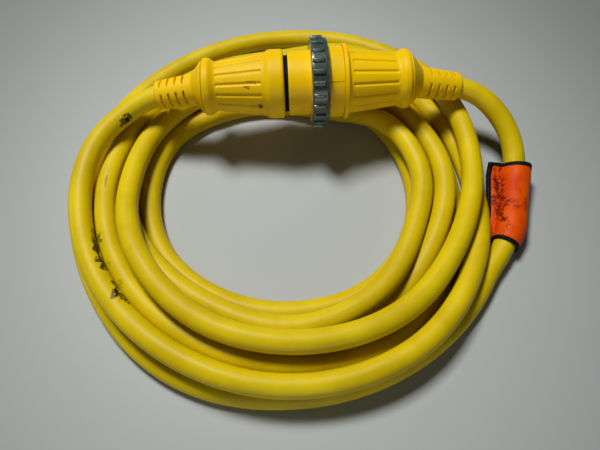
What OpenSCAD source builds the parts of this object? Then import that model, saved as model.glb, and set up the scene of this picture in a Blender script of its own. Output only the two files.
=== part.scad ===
// Shore power cord: a plug and a connector joined through a threaded locking
// ring, and the cord between them wound in seven turns. Millimetres, +Z up.
// +X runs along the couplers from the plug to the connector, +Y to the back.

/* [Cord] */
// Diameter of the cord's jacket
cord_d = 17; // [15:0.1:17]
// Diameter of one insulated wire inside the jacket
wire_d = 4.4; // [3:0.1:4.8]
// Height of the jacket's middle where it lies pressed flat on the ground
rest_z = 6.8; // [6.4:0.1:7]

/* [Couplers] */
// Distance of the couplers' axis behind the origin
axis_y = 48.5; // [46:0.5:52]
// Height of the couplers' axis over the ground
axis_z = 57.8; // [57:0.1:64]
// Where the locking ring's middle lies along X
ring_x = -19.6; // [-22:0.1:-18]
// Running clearance between parts that turn or slide, on the radius
running_gap = 0.3; // [0.2:0.05:0.4]
// Clearance of pressed and seated parts, on the radius
seat_gap = 0.05; // [0.02:0.01:0.1]
// Wall of the hollow housings at the bottom of the flutes
housing_wall = 2.6; // [2:0.1:3]

/* [Locking ring] */
// Width of the locking ring along the axis
ring_width = 13.6; // [13.4:0.1:18]
// Diameter of the locking ring between its ribs
ring_d = 68.6; // [68:0.2:76]
// Height of the grip ribs
rib_height = 2; // [1:0.1:2.5]
// Width of a grip rib
rib_width = 4.2; // [3:0.1:6]
// Number of grip ribs
rib_count = 24; // [12:1:28]
// Width of the ring's plain rim beside the ribs, on the connector's side
rim_width = 3.2; // [1:0.1:5]
// Thickness of the ring's rear lip
lip_thickness = 2; // [1.6:0.1:3]
// Thickness of the thrust washer behind the retaining flange
washer_thickness = 1.2; // [1:0.1:2]
// Way that the ring moves along the axis as it is unscrewed
ring_travel = 7.5; // [5:0.5:7.5]

/* [Connector] */
// Diameter of the nose that the locking ring turns on
nose_d = 55.6; // [54:0.2:57]
// Length of the nose that shows behind the ring
nose_length = 12; // [11:0.2:14]
// Thickness of the retaining flange inside the ring
retainer_thickness = 2.4; // [2:0.1:3]
// Height of the retaining flange over the nose
retainer_height = 2.7; // [2:0.1:2.9]
// Diameter of the ridge behind the nose
ridge_d = 58.9; // [58.5:0.1:62]
// Width of the ridge
ridge_width = 3.5; // [2:0.5:6]
// Diameter of the plain band behind the ridge
connector_band_d = 54; // [52:0.5:57]
// Width of the plain band
connector_band_width = 2.6; // [2:0.2:8]
// Diameter of the connector's grip at its wide end
connector_grip_d1 = 50.8; // [50:0.2:52]
// Diameter of the connector's grip at its narrow end
connector_grip_d2 = 42; // [41:0.2:46]
// Length of the connector's fluted grip
connector_grip_length = 36.6; // [34:0.2:46]
// Diameter of the connector's neck ring
connector_neck_d = 47.2; // [46:0.2:52]
// Width of the connector's neck ring
connector_neck_width = 10.6; // [8:0.2:14]
// Length of the connector's insulating core
socket_length = 26; // [25:0.5:30]

/* [Plug] */
// Diameter of the plug's front flange
flange_d = 54; // [53.4:0.2:60]
// Width of the plug's front flange
flange_width = 10.4; // [10:0.1:14]
// Width of the band behind the flange
plug_band_width = 6.5; // [4:0.1:8]
// Diameter of the plug's grip at its wide end
plug_grip_d1 = 49; // [47:0.2:50]
// Diameter of the plug's grip at its narrow end
plug_grip_d2 = 38.6; // [38:0.2:44]
// Length of the plug's fluted grip
plug_grip_length = 36.5; // [34:0.5:44]
// Diameter of the plug's neck ring
plug_neck_d = 45; // [43:0.5:50]
// Width of the plug's neck ring
plug_neck_width = 10.8; // [8:0.2:14]
// Wall of the sleeve that carries the thread
collar_wall = 3.2; // [2.6:0.1:5]
// Length of the sleeve that shows in front of the ring
collar_length = 17.8; // [16:0.2:22]
// Gap between the sleeve and the plug's flange
collar_gap = 3.2; // [2:0.1:4]
// Diameter of the thread's crests
thread_d = 61.4; // [60:0.1:61.6]
// Height of the thread
thread_height = 1.1; // [0.8:0.1:1.6]
// Pitch of the thread
thread_pitch = 2.5; // [2:0.1:3]
// Thickness of the sealing ring at the sleeve's front
gasket_thickness = 1.6; // [1.2:0.1:2.4]
// Diameter of the plug's insulating core
core_d = 44; // [43:0.2:44.6]
// Thickness of the disc at the core's front
core_disc = 10; // [8:0.5:14]
// Clearance over the terminal screws inside the plug's core
terminal_clearance = 1.7; // [0.6:0.1:2]

/* [Contacts] */
// Length of the blades in front of the core
blade_length = 22; // [18:0.5:23]
// Thickness of a blade
blade_thickness = 2; // [1.5:0.1:2.5]
// Radius of the circle that the blades stand on
blade_circle_r = 13; // [12.8:0.1:14]
// Angle that a blade spans on its circle
blade_angle = 40; // [30:1:46]
// Angle that the plug turns to lock
lock_angle = 15; // [10:1:20]
// Clearance of a blade in its slot
slot_gap = 0.5; // [0.4:0.1:0.8]
// Thickness of a contact spring
contact_thickness = 1.3; // [0.8:0.1:1.6]
// Side of a terminal block
terminal_size = 7; // [6:0.5:8]

/* [Boots] */
// Angle at which the boots droop
boot_tilt_connector = 12; // [8:0.5:14]
// Angle at which the plug's boot droops
boot_tilt_plug = 10.6; // [8:0.2:14]
// Depth inside the connector's neck where its boot bends
boot_pivot_connector = 12.9; // [11:0.1:14]
// Depth inside the plug's neck where its boot bends
boot_pivot_plug = 3.2; // [2:0.2:5]
// Length of the cone between the connector's neck and its boot
cone_length_connector = 9.4; // [9:0.1:14]
// Length of the cone between the plug's neck and its boot
cone_length_plug = 7; // [6.6:0.1:10]
// Length of the connector's ribbed boot
boot_length_connector = 35; // [30:0.5:46]
// Length of the plug's ribbed boot
boot_length_plug = 31.6; // [28:0.1:44]
// Diameter of the boots at their roots
boot_root_d = 25.6; // [24:0.2:27]
// Diameter of the boots at their tips
boot_tip_d = 23; // [21.4:0.2:24]
// Number of slit rows in a boot
slit_rows = 4; // [2:1:5]
// Width of a slit
slit_width = 1.6; // [1:0.1:2.4]
// Angle that one slit spans around the boot
slit_span = 62; // [40:1:70]
// Angle of the front web between the slits from the boot's top
slit_turn = 29; // [0:1:90]
// Wall that the slits leave around the cord
slit_floor = 1.2; // [0.8:0.1:1.6]

/* [Tag] */
// Thickness of the tag's fabric
tag_thickness = 1.2; // [0.8:0.1:1.6]
// Play of the tag around the cord, on the radius
tag_play = 0.5; // [0.4:0.1:0.6]
// Way that the loose tag hangs off to the cord's right
tag_slack = 1.5; // [0:0.1:1.6]
// Width of the bound edge at the tag's ends
binding_width = 2; // [1:0.5:3]

/* [Hidden] */
$fn = 64;

housing_yellow = [0.87, 0.70, 0.05];
jacket_yellow = [0.83, 0.72, 0.10];
ring_grey = [0.37, 0.42, 0.41];
insulator_dark = [0.13, 0.13, 0.14];
tag_orange = [0.89, 0.33, 0.05];
brass_tone = [0.80, 0.62, 0.30];
steel_tone = [0.70, 0.71, 0.73];

eps = 0.01;

// Stations along X, worked out from the ring both ways.
ring_left = ring_x - ring_width / 2;
ring_right = ring_x + ring_width / 2;
lip_x = ring_right - lip_thickness;
nose_right = ring_right + nose_length;
retainer_right = lip_x - washer_thickness - running_gap / 2;
retainer_left = retainer_right - retainer_thickness;
socket_x = retainer_left - 0.2;
core_x = socket_x - running_gap;
gasket_x = retainer_left - 0.1 - gasket_thickness;
collar_left = ring_left - collar_length;
plug_x = collar_left - collar_gap;
connector_x = nose_right;

// Depths measured from each housing's inner face towards its boot.
connector_grip_u = ridge_width + connector_band_width;
connector_neck_u = connector_grip_u + connector_grip_length;
connector_end_u = connector_neck_u + connector_neck_width;
plug_grip_u = flange_width + plug_band_width;
plug_neck_u = plug_grip_u + plug_grip_length;
plug_end_u = plug_neck_u + plug_neck_width;

// Radii.
nose_r = nose_d / 2;
core_r = core_d / 2;
collar_r = core_r + collar_wall;
core_bore_r = core_r + seat_gap;
thread_r = thread_d / 2;
thread_root_r = thread_r - thread_height;
ring_bore_r = thread_r + running_gap + 0.2;
ring_r = ring_d / 2;
jacket_bore_r = cord_d / 2 + seat_gap;
core_seat = 9;
socket_seat_u = socket_x + socket_length - connector_x;

// Flutes.
flute_count = 16;
flute_turn = 4.7;
flute_depth = 1;
flute_r = 1.4;

// Share of a neck over which it swells from the grip.
neck_rise = 0.6;

// Cavities.
connector_cavity_r = connector_grip_d2 / 2 - flute_depth - housing_wall;
plug_cavity_r = plug_grip_d2 / 2 - flute_depth - housing_wall;
mouth_wall = 3.8;
connector_mouth_r = connector_neck_d / 2 - mouth_wall;
plug_mouth_r = plug_neck_d / 2 - mouth_wall;

// Clamp and jacket end, measured from the boot's bend.
clamp_length = 8;
clamp_u = -5 - clamp_length;
clamp_r = 12;
clamp_split = 1;
jacket_end_u = clamp_u - 1.5;
boot_back_u = -4;

// The cap that a boot closes its neck's mouth with.
cap_overlap = 1.6;
cap_rim = 1;
wire_circle_r = 3.6;

// Contacts.
blade_in = blade_circle_r - blade_thickness / 2;
blade_out = blade_circle_r + blade_thickness / 2;
contact_out = blade_in - running_gap;
contact_in = contact_out - contact_thickness;
slot_depth = blade_length + slot_gap + 0.3;
slot_edge = asin(slot_gap / blade_in);
contact_front = 6;
contact_angle = blade_angle - 6;
terminal_depth = 8;
terminal_r_connector = contact_in - 0.5;
terminal_r_plug = blade_in - 1;
screw_r = 1.5;
screw_head_r = 2.8;
screw_head_height = 1.8;
plug_core_cavity_r = terminal_r_plug + terminal_size / 2 + screw_head_height
    + terminal_clearance;
wire_seat = 4;
line_angle = 0;
neutral_angle = 120;
ground_angle = 240;

// Lock pin and snap ring of the threaded sleeve.
pin_r = 1.4;
pin_x = collar_left + 1.6;
pin_slot_edge = asin((pin_r + running_gap) / core_r);
snap_x = collar_left + 7;
snap_width = 1.6;
snap_in = core_r - 1.1;
snap_out = core_r + 1;

// ---- The cord's route -------------------------------------------------
// The coil lies about this point. Each row below is one turn, counter-
// clockwise from the back in steps of 30 degrees; the first turn starts at
// the left and the last one ends at the front right.
coil_x = -47;
coil_y = -18;
coil_start = 180;
coil_step = 30;
g = rest_z;

coil_radius = concat(
    [160.2, 163.0, 164.5, 166.5, 166.0, 157.0, 150.5, 149.5, 147.0],
    [125.0, 131.0, 138.8, 144.0, 147.0, 148.5, 150.0, 151.5, 138.5, 131.0, 131.5, 135.5],
    [141.8, 146.0, 149.5, 151.2, 139.5, 128.8, 127.2, 127.5, 123.5, 124.0, 118.5, 119.8],
    [124.0, 128.0, 131.0, 132.2, 126.0, 122.5, 126.0, 118.5, 106.5, 105.5, 97.5, 85.5],
    [88.0, 97.8, 112.3, 114.2, 114.4, 110.8, 109.0, 109.5, 107.0, 103.5, 103.0, 105.0],
    [106.0, 113.7, 120.8, 124.0, 131.0, 137.5, 140.0, 142.0, 139.8, 147.0, 159.5, 174.0],
    [171.5, 169.5, 168.8, 169.5, 169.0, 172.5, 169.0, 168.5, 169.5]);

coil_height = concat(
    [35.0, 32.0, 26.5, 24.6, 24.6, 19.5, 7.2, g, 23.5],
    [27.0, 24.8, 22.8, 24.4, 24.0, 18.0, 16.5, 12.5, g, g, g, g],
    [g, g, g, g, g, g, g, g, 19.0, 23.5, 21.0, 18.0],
    [g, g, g, 11.0, 22.0, 23.8, 24.6, 24.6, 24.6, 24.6, 24.6, 13.0],
    [g, g, g, g, g, g, g, g, g, g, g, g],
    [g, 19.0, 22.5, 29.0, 39.5, 36.3, 35.5, 33.5, 29.8, 26.6, 24.6, 9.0],
    [g, g, g, g, g, g, g, g, g]);

// From the plug's boot to the coil, and from the coil to the connector's boot.
plug_lead_points = [[-162, 45.5, 47.5], [-173, 39.5, 44.5], [-184, 31, 42],
    [-194, 20.5, 39.5], [-202, 6.5, 37.5]];
connector_lead_points = [[109.3, -92.5, 7.2], [119, -78.8, 9], [123, -70, 9.8],
    [128, -54.5, 10.2], [132.2, -40.5, 11], [135.8, -27.5, 13.6], [138.4, -16, 16.8],
    [139.3, -4.5, 20.6], [138, 8, 26], [131.5, 23.5, 33], [121, 35.5, 39.5], [110.5, 43, 43.6]];

// Catmull-Rom value between b and c at the share t.
function spline(a, b, c, d, t) = 0.5 * (2 * b + (c - a) * t
    + (2 * a - 5 * b + 4 * c - d) * t * t + (3 * b - a - 3 * c + d) * t * t * t);
function entry(list, i) = i < 0 ? 2 * list[0] - list[1]
    : i >= len(list) ? 2 * list[len(list) - 1] - list[len(list) - 2] : list[i];
function along(list, u) = let (i = min(floor(u), len(list) - 2))
    spline(entry(list, i - 1), list[i], list[i + 1], entry(list, i + 2), u - i);
function coil_point(u) = let (a = coil_start + coil_step * u, r = along(coil_radius, u))
    [coil_x + r * cos(a), coil_y + r * sin(a), max(along(coil_height, u), rest_z)];

rings_per_step = 2;
coil_steps = len(coil_radius) - 1;
coil_path = [for (i = [0:coil_steps * rings_per_step]) coil_point(i / rings_per_step)];

// Points in a boot's own frame, told from its bend: u runs out along the boot.
function boot_bend_x(end_x, dir, pivot) = end_x - dir * pivot;
function boot_point(bend_x, dir, tilt, u, y = 0, v = 0) =
    [bend_x + dir * (u * cos(tilt) + v * sin(tilt)), axis_y + y,
     axis_z - u * sin(tilt) + v * cos(tilt)];

connector_bend_x = boot_bend_x(connector_x + connector_end_u, 1, boot_pivot_connector);
plug_bend_x = boot_bend_x(plug_x - plug_end_u, -1, boot_pivot_plug);
connector_root_u = boot_pivot_connector + cone_length_connector;
plug_root_u = boot_pivot_plug + cone_length_plug;
connector_tip_u = connector_root_u + boot_length_connector;
plug_tip_u = plug_root_u + boot_length_plug;
connector_tip = boot_point(connector_bend_x, 1, boot_tilt_connector, connector_tip_u + seat_gap);
plug_tip = boot_point(plug_bend_x, -1, boot_tilt_plug, plug_tip_u + seat_gap);

plug_lead_path = concat([plug_tip], plug_lead_points, [coil_path[0]]);
connector_lead_path = concat([coil_path[len(coil_path) - 1]], connector_lead_points,
    [connector_tip]);

// Least gap of the wound tube to itself, leaving out its near neighbours.
function gap_from(i) = min([for (j = [i + 3:len(coil_path) - 1])
    norm(coil_path[j] - coil_path[i])]) - cord_d;
echo(least_gap_of_coil = min([for (i = [0:len(coil_path) - 4]) gap_from(i)]));

// ---- Swept tubes ------------------------------------------------------
function unit(v) = v / norm(v);
function heading(path, i, first, last) = i == 0 ? first
    : i == len(path) - 1 ? last : unit(path[i + 1] - path[i - 1]);
// A section's points: [across, up] about the path, never under the floor.
function placed(p, t, section, floor_z) = let (side = unit(cross(t, [0, 0, 1])), up = cross(side, t))
    [for (q = section) let (w = p + side * q[0] + up * q[1]) [w[0], w[1], max(w[2], floor_z)]];
function round_section(r, sides) = [for (k = [0:sides - 1])
    let (a = (k + 0.5) * 360 / sides - 90) [r * cos(a), r * sin(a)]];
function band_faces(rings, n, from, flip) = [for (i = [0:rings - 2], k = [0:n - 1])
    let (a = from + i * n + k, b = from + i * n + (k + 1) % n)
    each flip ? [[a, b, b + n], [a, b + n, a + n]] : [[a, b + n, b], [a, a + n, b + n]]];

// A solid tube through a path; both ends are square to the given headings.
module tube(path, r, sides, first, last) {
    section = round_section(r, sides);
    rings = len(path);
    points = [for (i = [0:rings - 1])
        each placed(path[i], heading(path, i, first, last), section, 0)];
    start_cap = [for (k = [1:sides - 2]) [0, k, k + 1]];
    end_cap = [for (k = [1:sides - 2]) let (e = (rings - 1) * sides) [e, e + k + 1, e + k]];
    polyhedron(points, concat(start_cap, band_faces(rings, sides, 0, false), end_cap));
}

// A hollow sleeve through a path, with one outer section for each ring.
module sleeve(path, outer, inner, first, last, floor_in) {
    n = len(inner);
    rings = len(path);
    outside = [for (i = [0:rings - 1])
        each placed(path[i], heading(path, i, first, last), outer[i], 0)];
    inside = [for (i = [0:rings - 1])
        each placed(path[i], heading(path, i, first, last), inner, floor_in)];
    m = rings * n;
    start_cap = [for (k = [0:n - 1]) let (j = (k + 1) % n)
        each [[k, j, m + j], [k, m + j, m + k]]];
    end_cap = [for (k = [0:n - 1]) let (j = (k + 1) % n, e = m - n)
        each [[e + k, m + e + j, e + j], [e + k, m + e + k, m + e + j]]];
    polyhedron(concat(outside, inside), concat(start_cap, band_faces(rings, n, 0, false),
        band_faces(rings, n, m, true), end_cap));
}

// ---- Helpers ----------------------------------------------------------
// Puts children on the couplers' axis; their +Z points to +X or to -X.
module on_axis(x, dir = 1) {
    translate([x, axis_y, axis_z]) rotate([0, 90 * dir, 0]) children();
}

// Puts children in a boot's frame: +Z runs out along the boot.
module in_boot(bend_x, dir, tilt) {
    translate([bend_x, axis_y, axis_z]) rotate([0, dir * (90 + tilt), 0]) children();
}

module pipe(r_out, r_in, h) {
    difference() {
        cylinder(r = r_out, h = h);
        translate([0, 0, -eps]) cylinder(r = r_in, h = h + 2 * eps);
    }
}

// A piece of a ring: from r_in to r_out, over an angle, h long.
module arc_piece(r_in, r_out, h, from, span) {
    rotate([0, 0, from]) rotate_extrude(angle = span)
        translate([r_in, 0]) square([r_out - r_in, h]);
}

// ---- Housings ---------------------------------------------------------
// The tapered grip: round, with narrow flutes cut along its sides.
module grip(r1, r2, length) {
    taper = atan((r1 - r2) / length);
    difference() {
        cylinder(r1 = r1, r2 = r2, h = length);
        for (k = [0:flute_count - 1])
            rotate([0, 0, flute_turn + k * 360 / flute_count])
                translate([r1 + flute_r - flute_depth, 0, 0])
                    rotate([0, -taper, 0])
                        translate([0, 0, 0.8]) cylinder(r = flute_r, h = length * 1.2, $fn = 32);
    }
}

// A shoulder that swells from r_from to r over its rise and ends in a round edge.
module shoulder(r_from, r, width, rise) {
    rounding = 2;
    rotate_extrude() polygon(concat([[0, 0]],
        [for (t = [0:0.125:1]) [r_from + (r - r_from) * (1 - cos(180 * t)) / 2, rise * t]],
        [for (a = [0:22.5:90]) [r - rounding * (1 - cos(a)), width - rounding * (1 - sin(a))]],
        [[0, width]]));
}

module housing_hollow(seat_r, seat_u, cavity_r, neck_u, mouth_r, end_u) {
    translate([0, 0, -eps]) cylinder(r = seat_r, h = seat_u + eps);
    translate([0, 0, seat_u - eps]) cylinder(r = cavity_r, h = neck_u - seat_u + 2 * eps);
    translate([0, 0, neck_u]) cylinder(r1 = cavity_r, r2 = mouth_r, h = 2);
    translate([0, 0, neck_u + 2 - eps]) cylinder(r = mouth_r, h = end_u - neck_u);
}

module connector_body() {
    color(housing_yellow) difference() {
        on_axis(connector_x) difference() {
            union() {
                cylinder(d = ridge_d, h = ridge_width);
                cylinder(d1 = connector_band_d, d2 = connector_grip_d1, h = connector_grip_u);
                translate([0, 0, connector_grip_u])
                    grip(connector_grip_d1 / 2, connector_grip_d2 / 2, connector_grip_length);
                translate([0, 0, connector_neck_u])
                    shoulder(connector_grip_d2 / 2, connector_neck_d / 2, connector_neck_width,
                        connector_neck_width * neck_rise);
            }
            housing_hollow(core_bore_r, socket_seat_u, connector_cavity_r, connector_neck_u,
                connector_mouth_r, connector_end_u);
        }
        nose_screw_holes();
    }
}

module plug_body() {
    color(housing_yellow) on_axis(plug_x, -1) difference() {
        union() {
            translate([0, 0, plug_grip_u]) rotate([180, 0, 0])
                shoulder(plug_grip_d1 / 2, flange_d / 2, plug_grip_u, plug_band_width);
            translate([0, 0, plug_grip_u])
                grip(plug_grip_d1 / 2, plug_grip_d2 / 2, plug_grip_length);
            translate([0, 0, plug_neck_u])
                shoulder(plug_grip_d2 / 2, plug_neck_d / 2, plug_neck_width,
                    plug_neck_width * neck_rise);
        }
        housing_hollow(core_bore_r, core_seat, plug_cavity_r, plug_neck_u, plug_mouth_r,
            plug_end_u);
    }
}

// ---- Nose and locking ring --------------------------------------------
nose_screw_circle = (core_bore_r + nose_r) / 2;
nose_screw_depth = ridge_width - 0.5;
nose_screw_head = (nose_r - core_bore_r) * 0.38;
nose_screw_r = nose_screw_head * 0.55;

module nose_screw_holes() {
    on_axis(retainer_left - eps) for (a = [60, 180, 300]) rotate([0, 0, a])
        translate([nose_screw_circle, 0, 0]) {
            cylinder(r = nose_screw_r + seat_gap,
                h = connector_x - retainer_left + nose_screw_depth, $fn = 24);
            cylinder(r = nose_screw_head + seat_gap, h = 2, $fn = 24);
        }
}

module nose_screws() {
    color(steel_tone) on_axis(retainer_left) for (a = [60, 180, 300]) rotate([0, 0, a])
        translate([nose_screw_circle, 0, 0]) {
            cylinder(r = nose_screw_r, h = connector_x - retainer_left + nose_screw_depth - 0.5,
                $fn = 24);
            cylinder(r = nose_screw_head, h = 1.9, $fn = 24);
        }
}

module connector_nose() {
    color(housing_yellow) difference() {
        on_axis(retainer_left) difference() {
            union() {
                cylinder(r = nose_r, h = connector_x - retainer_left);
                cylinder(r = nose_r + retainer_height, h = retainer_thickness);
            }
            translate([0, 0, -eps]) cylinder(r = core_bore_r, h = 60);
        }
        nose_screw_holes();
    }
}

module ring_washer() {
    color(insulator_dark) on_axis(retainer_right + 0.05)
        pipe(nose_r + retainer_height, nose_r + running_gap, washer_thickness);
}

module locking_ring() {
    rib_start = 0.8;
    color(ring_grey) on_axis(ring_left) difference() {
        union() {
            cylinder(r = ring_r, h = ring_width);
            for (k = [0:rib_count - 1]) rotate([0, 0, k * 360 / rib_count])
                translate([ring_r - 1, -rib_width / 2, rib_start])
                    cube([rib_height + 1, rib_width, ring_width - rim_width - rib_start]);
        }
        translate([0, 0, -eps]) cylinder(r = ring_bore_r, h = ring_width - lip_thickness + eps);
        cylinder(r = nose_r + running_gap + 0.2, h = ring_width + 1);
    }
}

// ---- Threaded sleeve of the plug --------------------------------------
shoulder_width = 1.4;
thread_start = ring_left + 0.3 - collar_left + shoulder_width;
collar_full = gasket_x - collar_left;
thread_turns = floor((collar_full - thread_start) / thread_pitch + 0.5);

module plug_collar() {
    color(housing_yellow) on_axis(collar_left) difference() {
        union() {
            cylinder(r = collar_r, h = collar_full);
            translate([0, 0, thread_start - shoulder_width])
                cylinder(r = thread_r, h = shoulder_width);
            translate([0, 0, thread_start - eps])
                cylinder(r = thread_root_r, h = collar_full - thread_start + eps);
            for (k = [1:thread_turns])
                translate([0, 0, thread_start + (k - 0.5) * thread_pitch])
                    rotate_extrude() polygon([[thread_root_r - 1, -thread_pitch / 4],
                        [thread_root_r, -thread_pitch / 4], [thread_r, -thread_pitch / 10],
                        [thread_r, thread_pitch / 10], [thread_root_r, thread_pitch / 4],
                        [thread_root_r - 1, thread_pitch / 4]]);
        }
        translate([0, 0, -eps]) cylinder(r = core_bore_r, h = collar_full + 1);
        translate([0, 0, snap_x - collar_left - 0.15])
            cylinder(r = snap_out + 0.2, h = snap_width + 0.3);
        translate([0, 0, -eps]) arc_piece(core_r - 1, collar_r + 1,
            pin_x - collar_left + pin_r + running_gap, -pin_slot_edge,
            lock_angle + 2 * pin_slot_edge);
    }
}

module collar_gasket() {
    color(insulator_dark) on_axis(gasket_x)
        pipe(thread_root_r, core_r + running_gap, gasket_thickness);
}

module collar_snap_ring() {
    color(steel_tone) on_axis(snap_x) difference() {
        pipe(snap_out, snap_in, snap_width);
        translate([0, 0, -1]) rotate([0, 0, 180]) arc_piece(snap_in - 1, snap_out + 1,
            snap_width + 2, -8, 16);
    }
}

module lock_pin() {
    color(steel_tone) on_axis(pin_x) translate([core_r - 2.5, 0, 0]) rotate([0, 90, 0])
        cylinder(r = pin_r, h = 2.5 + collar_r - core_r - 0.4, $fn = 32);
}

// ---- Insulating cores and contacts ------------------------------------
module slot_cuts(angle) {
    reach = blade_angle + lock_angle + 2 * slot_edge;
    translate([0, 0, -eps]) arc_piece(blade_in - slot_gap, blade_out + slot_gap,
        slot_depth + eps, angle - slot_edge, reach);
    translate([0, 0, contact_front - 0.2]) arc_piece(contact_in - 0.1, contact_out + 0.1,
        socket_length, angle + 2, contact_angle + 2);
    translate([0, 0, contact_front - 0.2]) arc_piece(contact_out, blade_in - slot_gap + 0.1,
        slot_depth - contact_front, angle + 2, contact_angle + 2);
}

module connector_face() {
    color(insulator_dark) on_axis(socket_x) difference() {
        cylinder(r = core_r, h = socket_length);
        for (a = [line_angle, neutral_angle, ground_angle]) slot_cuts(a);
    }
}

// A screw terminal at an angle: block, with its wire hole and screw hole.
module terminal(angle, r_mid) {
    rotate([0, 0, angle]) difference() {
        translate([r_mid - terminal_size / 2, -terminal_size / 2, 0])
            cube([terminal_size, terminal_size, terminal_depth]);
        translate([r_mid, 0, terminal_depth - wire_seat])
            cylinder(r = wire_d / 2 + seat_gap, h = wire_seat + 1, $fn = 32);
        translate([r_mid + wire_d / 2 + seat_gap, 0, terminal_depth / 2]) rotate([0, 90, 0])
            cylinder(r = screw_r + seat_gap, h = terminal_size, $fn = 24);
    }
}

module terminal_screw(angle, r_mid) {
    rotate([0, 0, angle]) translate([r_mid + wire_d / 2 + 0.2, 0, terminal_depth / 2])
        rotate([0, 90, 0]) {
            shank = terminal_size / 2 - wire_d / 2 - 0.2;
            cylinder(r = screw_r, h = shank + eps, $fn = 24);
            translate([0, 0, shank]) difference() {
                cylinder(r = screw_head_r, h = screw_head_height, $fn = 32);
                translate([-0.4, -4, screw_head_height - 0.8]) cube([0.8, 8, 2]);
            }
        }
}

connector_terminal_x = socket_x + socket_length;
plug_terminal_x = core_x - core_disc;
mid_blade = blade_angle / 2;

module contact(angle) {
    on_axis(socket_x + contact_front) arc_piece(contact_in, contact_out,
        socket_length - contact_front + eps, angle + 3, contact_angle);
    on_axis(connector_terminal_x) terminal(angle + mid_blade, terminal_r_connector);
}

module contact_line() { color(brass_tone) contact(line_angle); }
module contact_neutral() { color(brass_tone) contact(neutral_angle); }
module contact_ground() { color(brass_tone) contact(ground_angle); }

module connector_terminal_screws() {
    color(steel_tone) on_axis(connector_terminal_x)
        for (a = [line_angle, neutral_angle, ground_angle])
            terminal_screw(a + mid_blade, terminal_r_connector);
}

module blade_slots() {
    for (a = [line_angle, neutral_angle, ground_angle])
        arc_piece(blade_in - seat_gap, blade_out + seat_gap, 60, a - 0.2, blade_angle + 0.4);
}

module plug_face() {
    color(insulator_dark) difference() {
        on_axis(core_x, -1) difference() {
            cylinder(r = core_r, h = core_x - plug_x + core_seat);
            translate([0, 0, core_disc])
                cylinder(r = plug_core_cavity_r, h = 60);
        }
        on_axis(plug_terminal_x - 20) blade_slots();
        on_axis(snap_x - 0.15) pipe(core_r + 1, snap_in - 0.1, snap_width + 0.3);
        on_axis(pin_x) translate([core_r - 2.6, 0, 0]) rotate([0, 90, 0])
            cylinder(r = pin_r + seat_gap, h = 6, $fn = 32);
    }
}

// A blade: curved on its circle, with the notch that locks it.
module blade(angle) {
    notch_from = 6;
    notch_length = 7;
    blade_root = 2;
    on_axis(plug_terminal_x - blade_root) difference() {
        arc_piece(blade_in, blade_out, blade_root + core_disc + blade_length, angle, blade_angle);
        translate([0, 0, blade_root + core_disc + notch_from]) arc_piece(blade_in - 1, blade_out + 1,
            notch_length, angle - 1, 10);
    }
    on_axis(plug_terminal_x, -1)
        terminal(180 - angle - mid_blade, terminal_r_plug);
}

module blade_line() { color(brass_tone) blade(line_angle); }
module blade_neutral() { color(brass_tone) blade(neutral_angle); }
module blade_ground() { color(brass_tone) blade(ground_angle); }

module plug_terminal_screws() {
    color(steel_tone) on_axis(plug_terminal_x, -1)
        for (a = [line_angle, neutral_angle, ground_angle])
            terminal_screw(180 - a - mid_blade, terminal_r_plug);
}

// ---- Boots, clamps and wires ------------------------------------------
module boot(dir, tilt, mouth_r, pivot, root_u, tip_u) {
    cap_r = mouth_r + cap_overlap;
    rounding = 0.8;
    root_r = boot_root_d / 2;
    tip_r = boot_tip_d / 2;
    pitch = (tip_u - root_u) / (slit_rows + 1);
    spine = dir > 0 ? 180 + slit_turn : -slit_turn;
    difference() {
        union() {
            translate([0, 0, boot_back_u]) cylinder(r = clamp_r, h = root_u - boot_back_u);
            hull() {
                rotate([0, -dir * tilt, 0]) translate([0, 0, pivot + running_gap])
                    cylinder(r = cap_r, h = cap_rim, $fn = 48);
                translate([0, 0, root_u - cap_rim]) cylinder(r = root_r, h = cap_rim, $fn = 48);
            }
            rotate_extrude() polygon([[0, root_u - cap_rim], [root_r, root_u - cap_rim],
                [root_r, root_u], [tip_r, tip_u - rounding], [tip_r - rounding, tip_u],
                [0, tip_u]]);
        }
        translate([0, 0, boot_back_u - 1]) cylinder(r = jacket_bore_r, h = tip_u + 10);
        for (k = [1:slit_rows], side = [45:90:315])
            translate([0, 0, root_u + k * pitch])
                arc_piece(jacket_bore_r + slit_floor, boot_root_d / 2 + 1, slit_width,
                    spine + side - slit_span / 2, slit_span);
    }
}

module connector_boot() {
    color(housing_yellow) in_boot(connector_bend_x, 1, boot_tilt_connector)
        boot(1, boot_tilt_connector, connector_mouth_r, boot_pivot_connector,
            connector_root_u, connector_tip_u);
}

module plug_boot() {
    color(housing_yellow) in_boot(plug_bend_x, -1, boot_tilt_plug)
        boot(-1, boot_tilt_plug, plug_mouth_r, boot_pivot_plug, plug_root_u, plug_tip_u);
}

// Two saddles around the jacket, drawn together by a screw at each side.
clamp_screw_y = 10.1;
clamp_screw_r = 0.9;

module clamp() {
    translate([0, 0, clamp_u]) difference() {
        pipe(clamp_r, jacket_bore_r, clamp_length);
        translate([-clamp_split / 2, -clamp_r - 1, -1])
            cube([clamp_split, 2 * clamp_r + 2, clamp_length + 2]);
        for (s = [-1, 1]) translate([-clamp_r, s * clamp_screw_y, clamp_length / 2])
            rotate([0, 90, 0]) cylinder(r = clamp_screw_r + seat_gap, h = 2 * clamp_r, $fn = 24);
    }
}

module clamp_screws() {
    half = 5.2;
    for (s = [-1, 1]) translate([-half, s * clamp_screw_y, clamp_u + clamp_length / 2])
        rotate([0, 90, 0]) cylinder(r = clamp_screw_r, h = 2 * half, $fn = 24);
}

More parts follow.
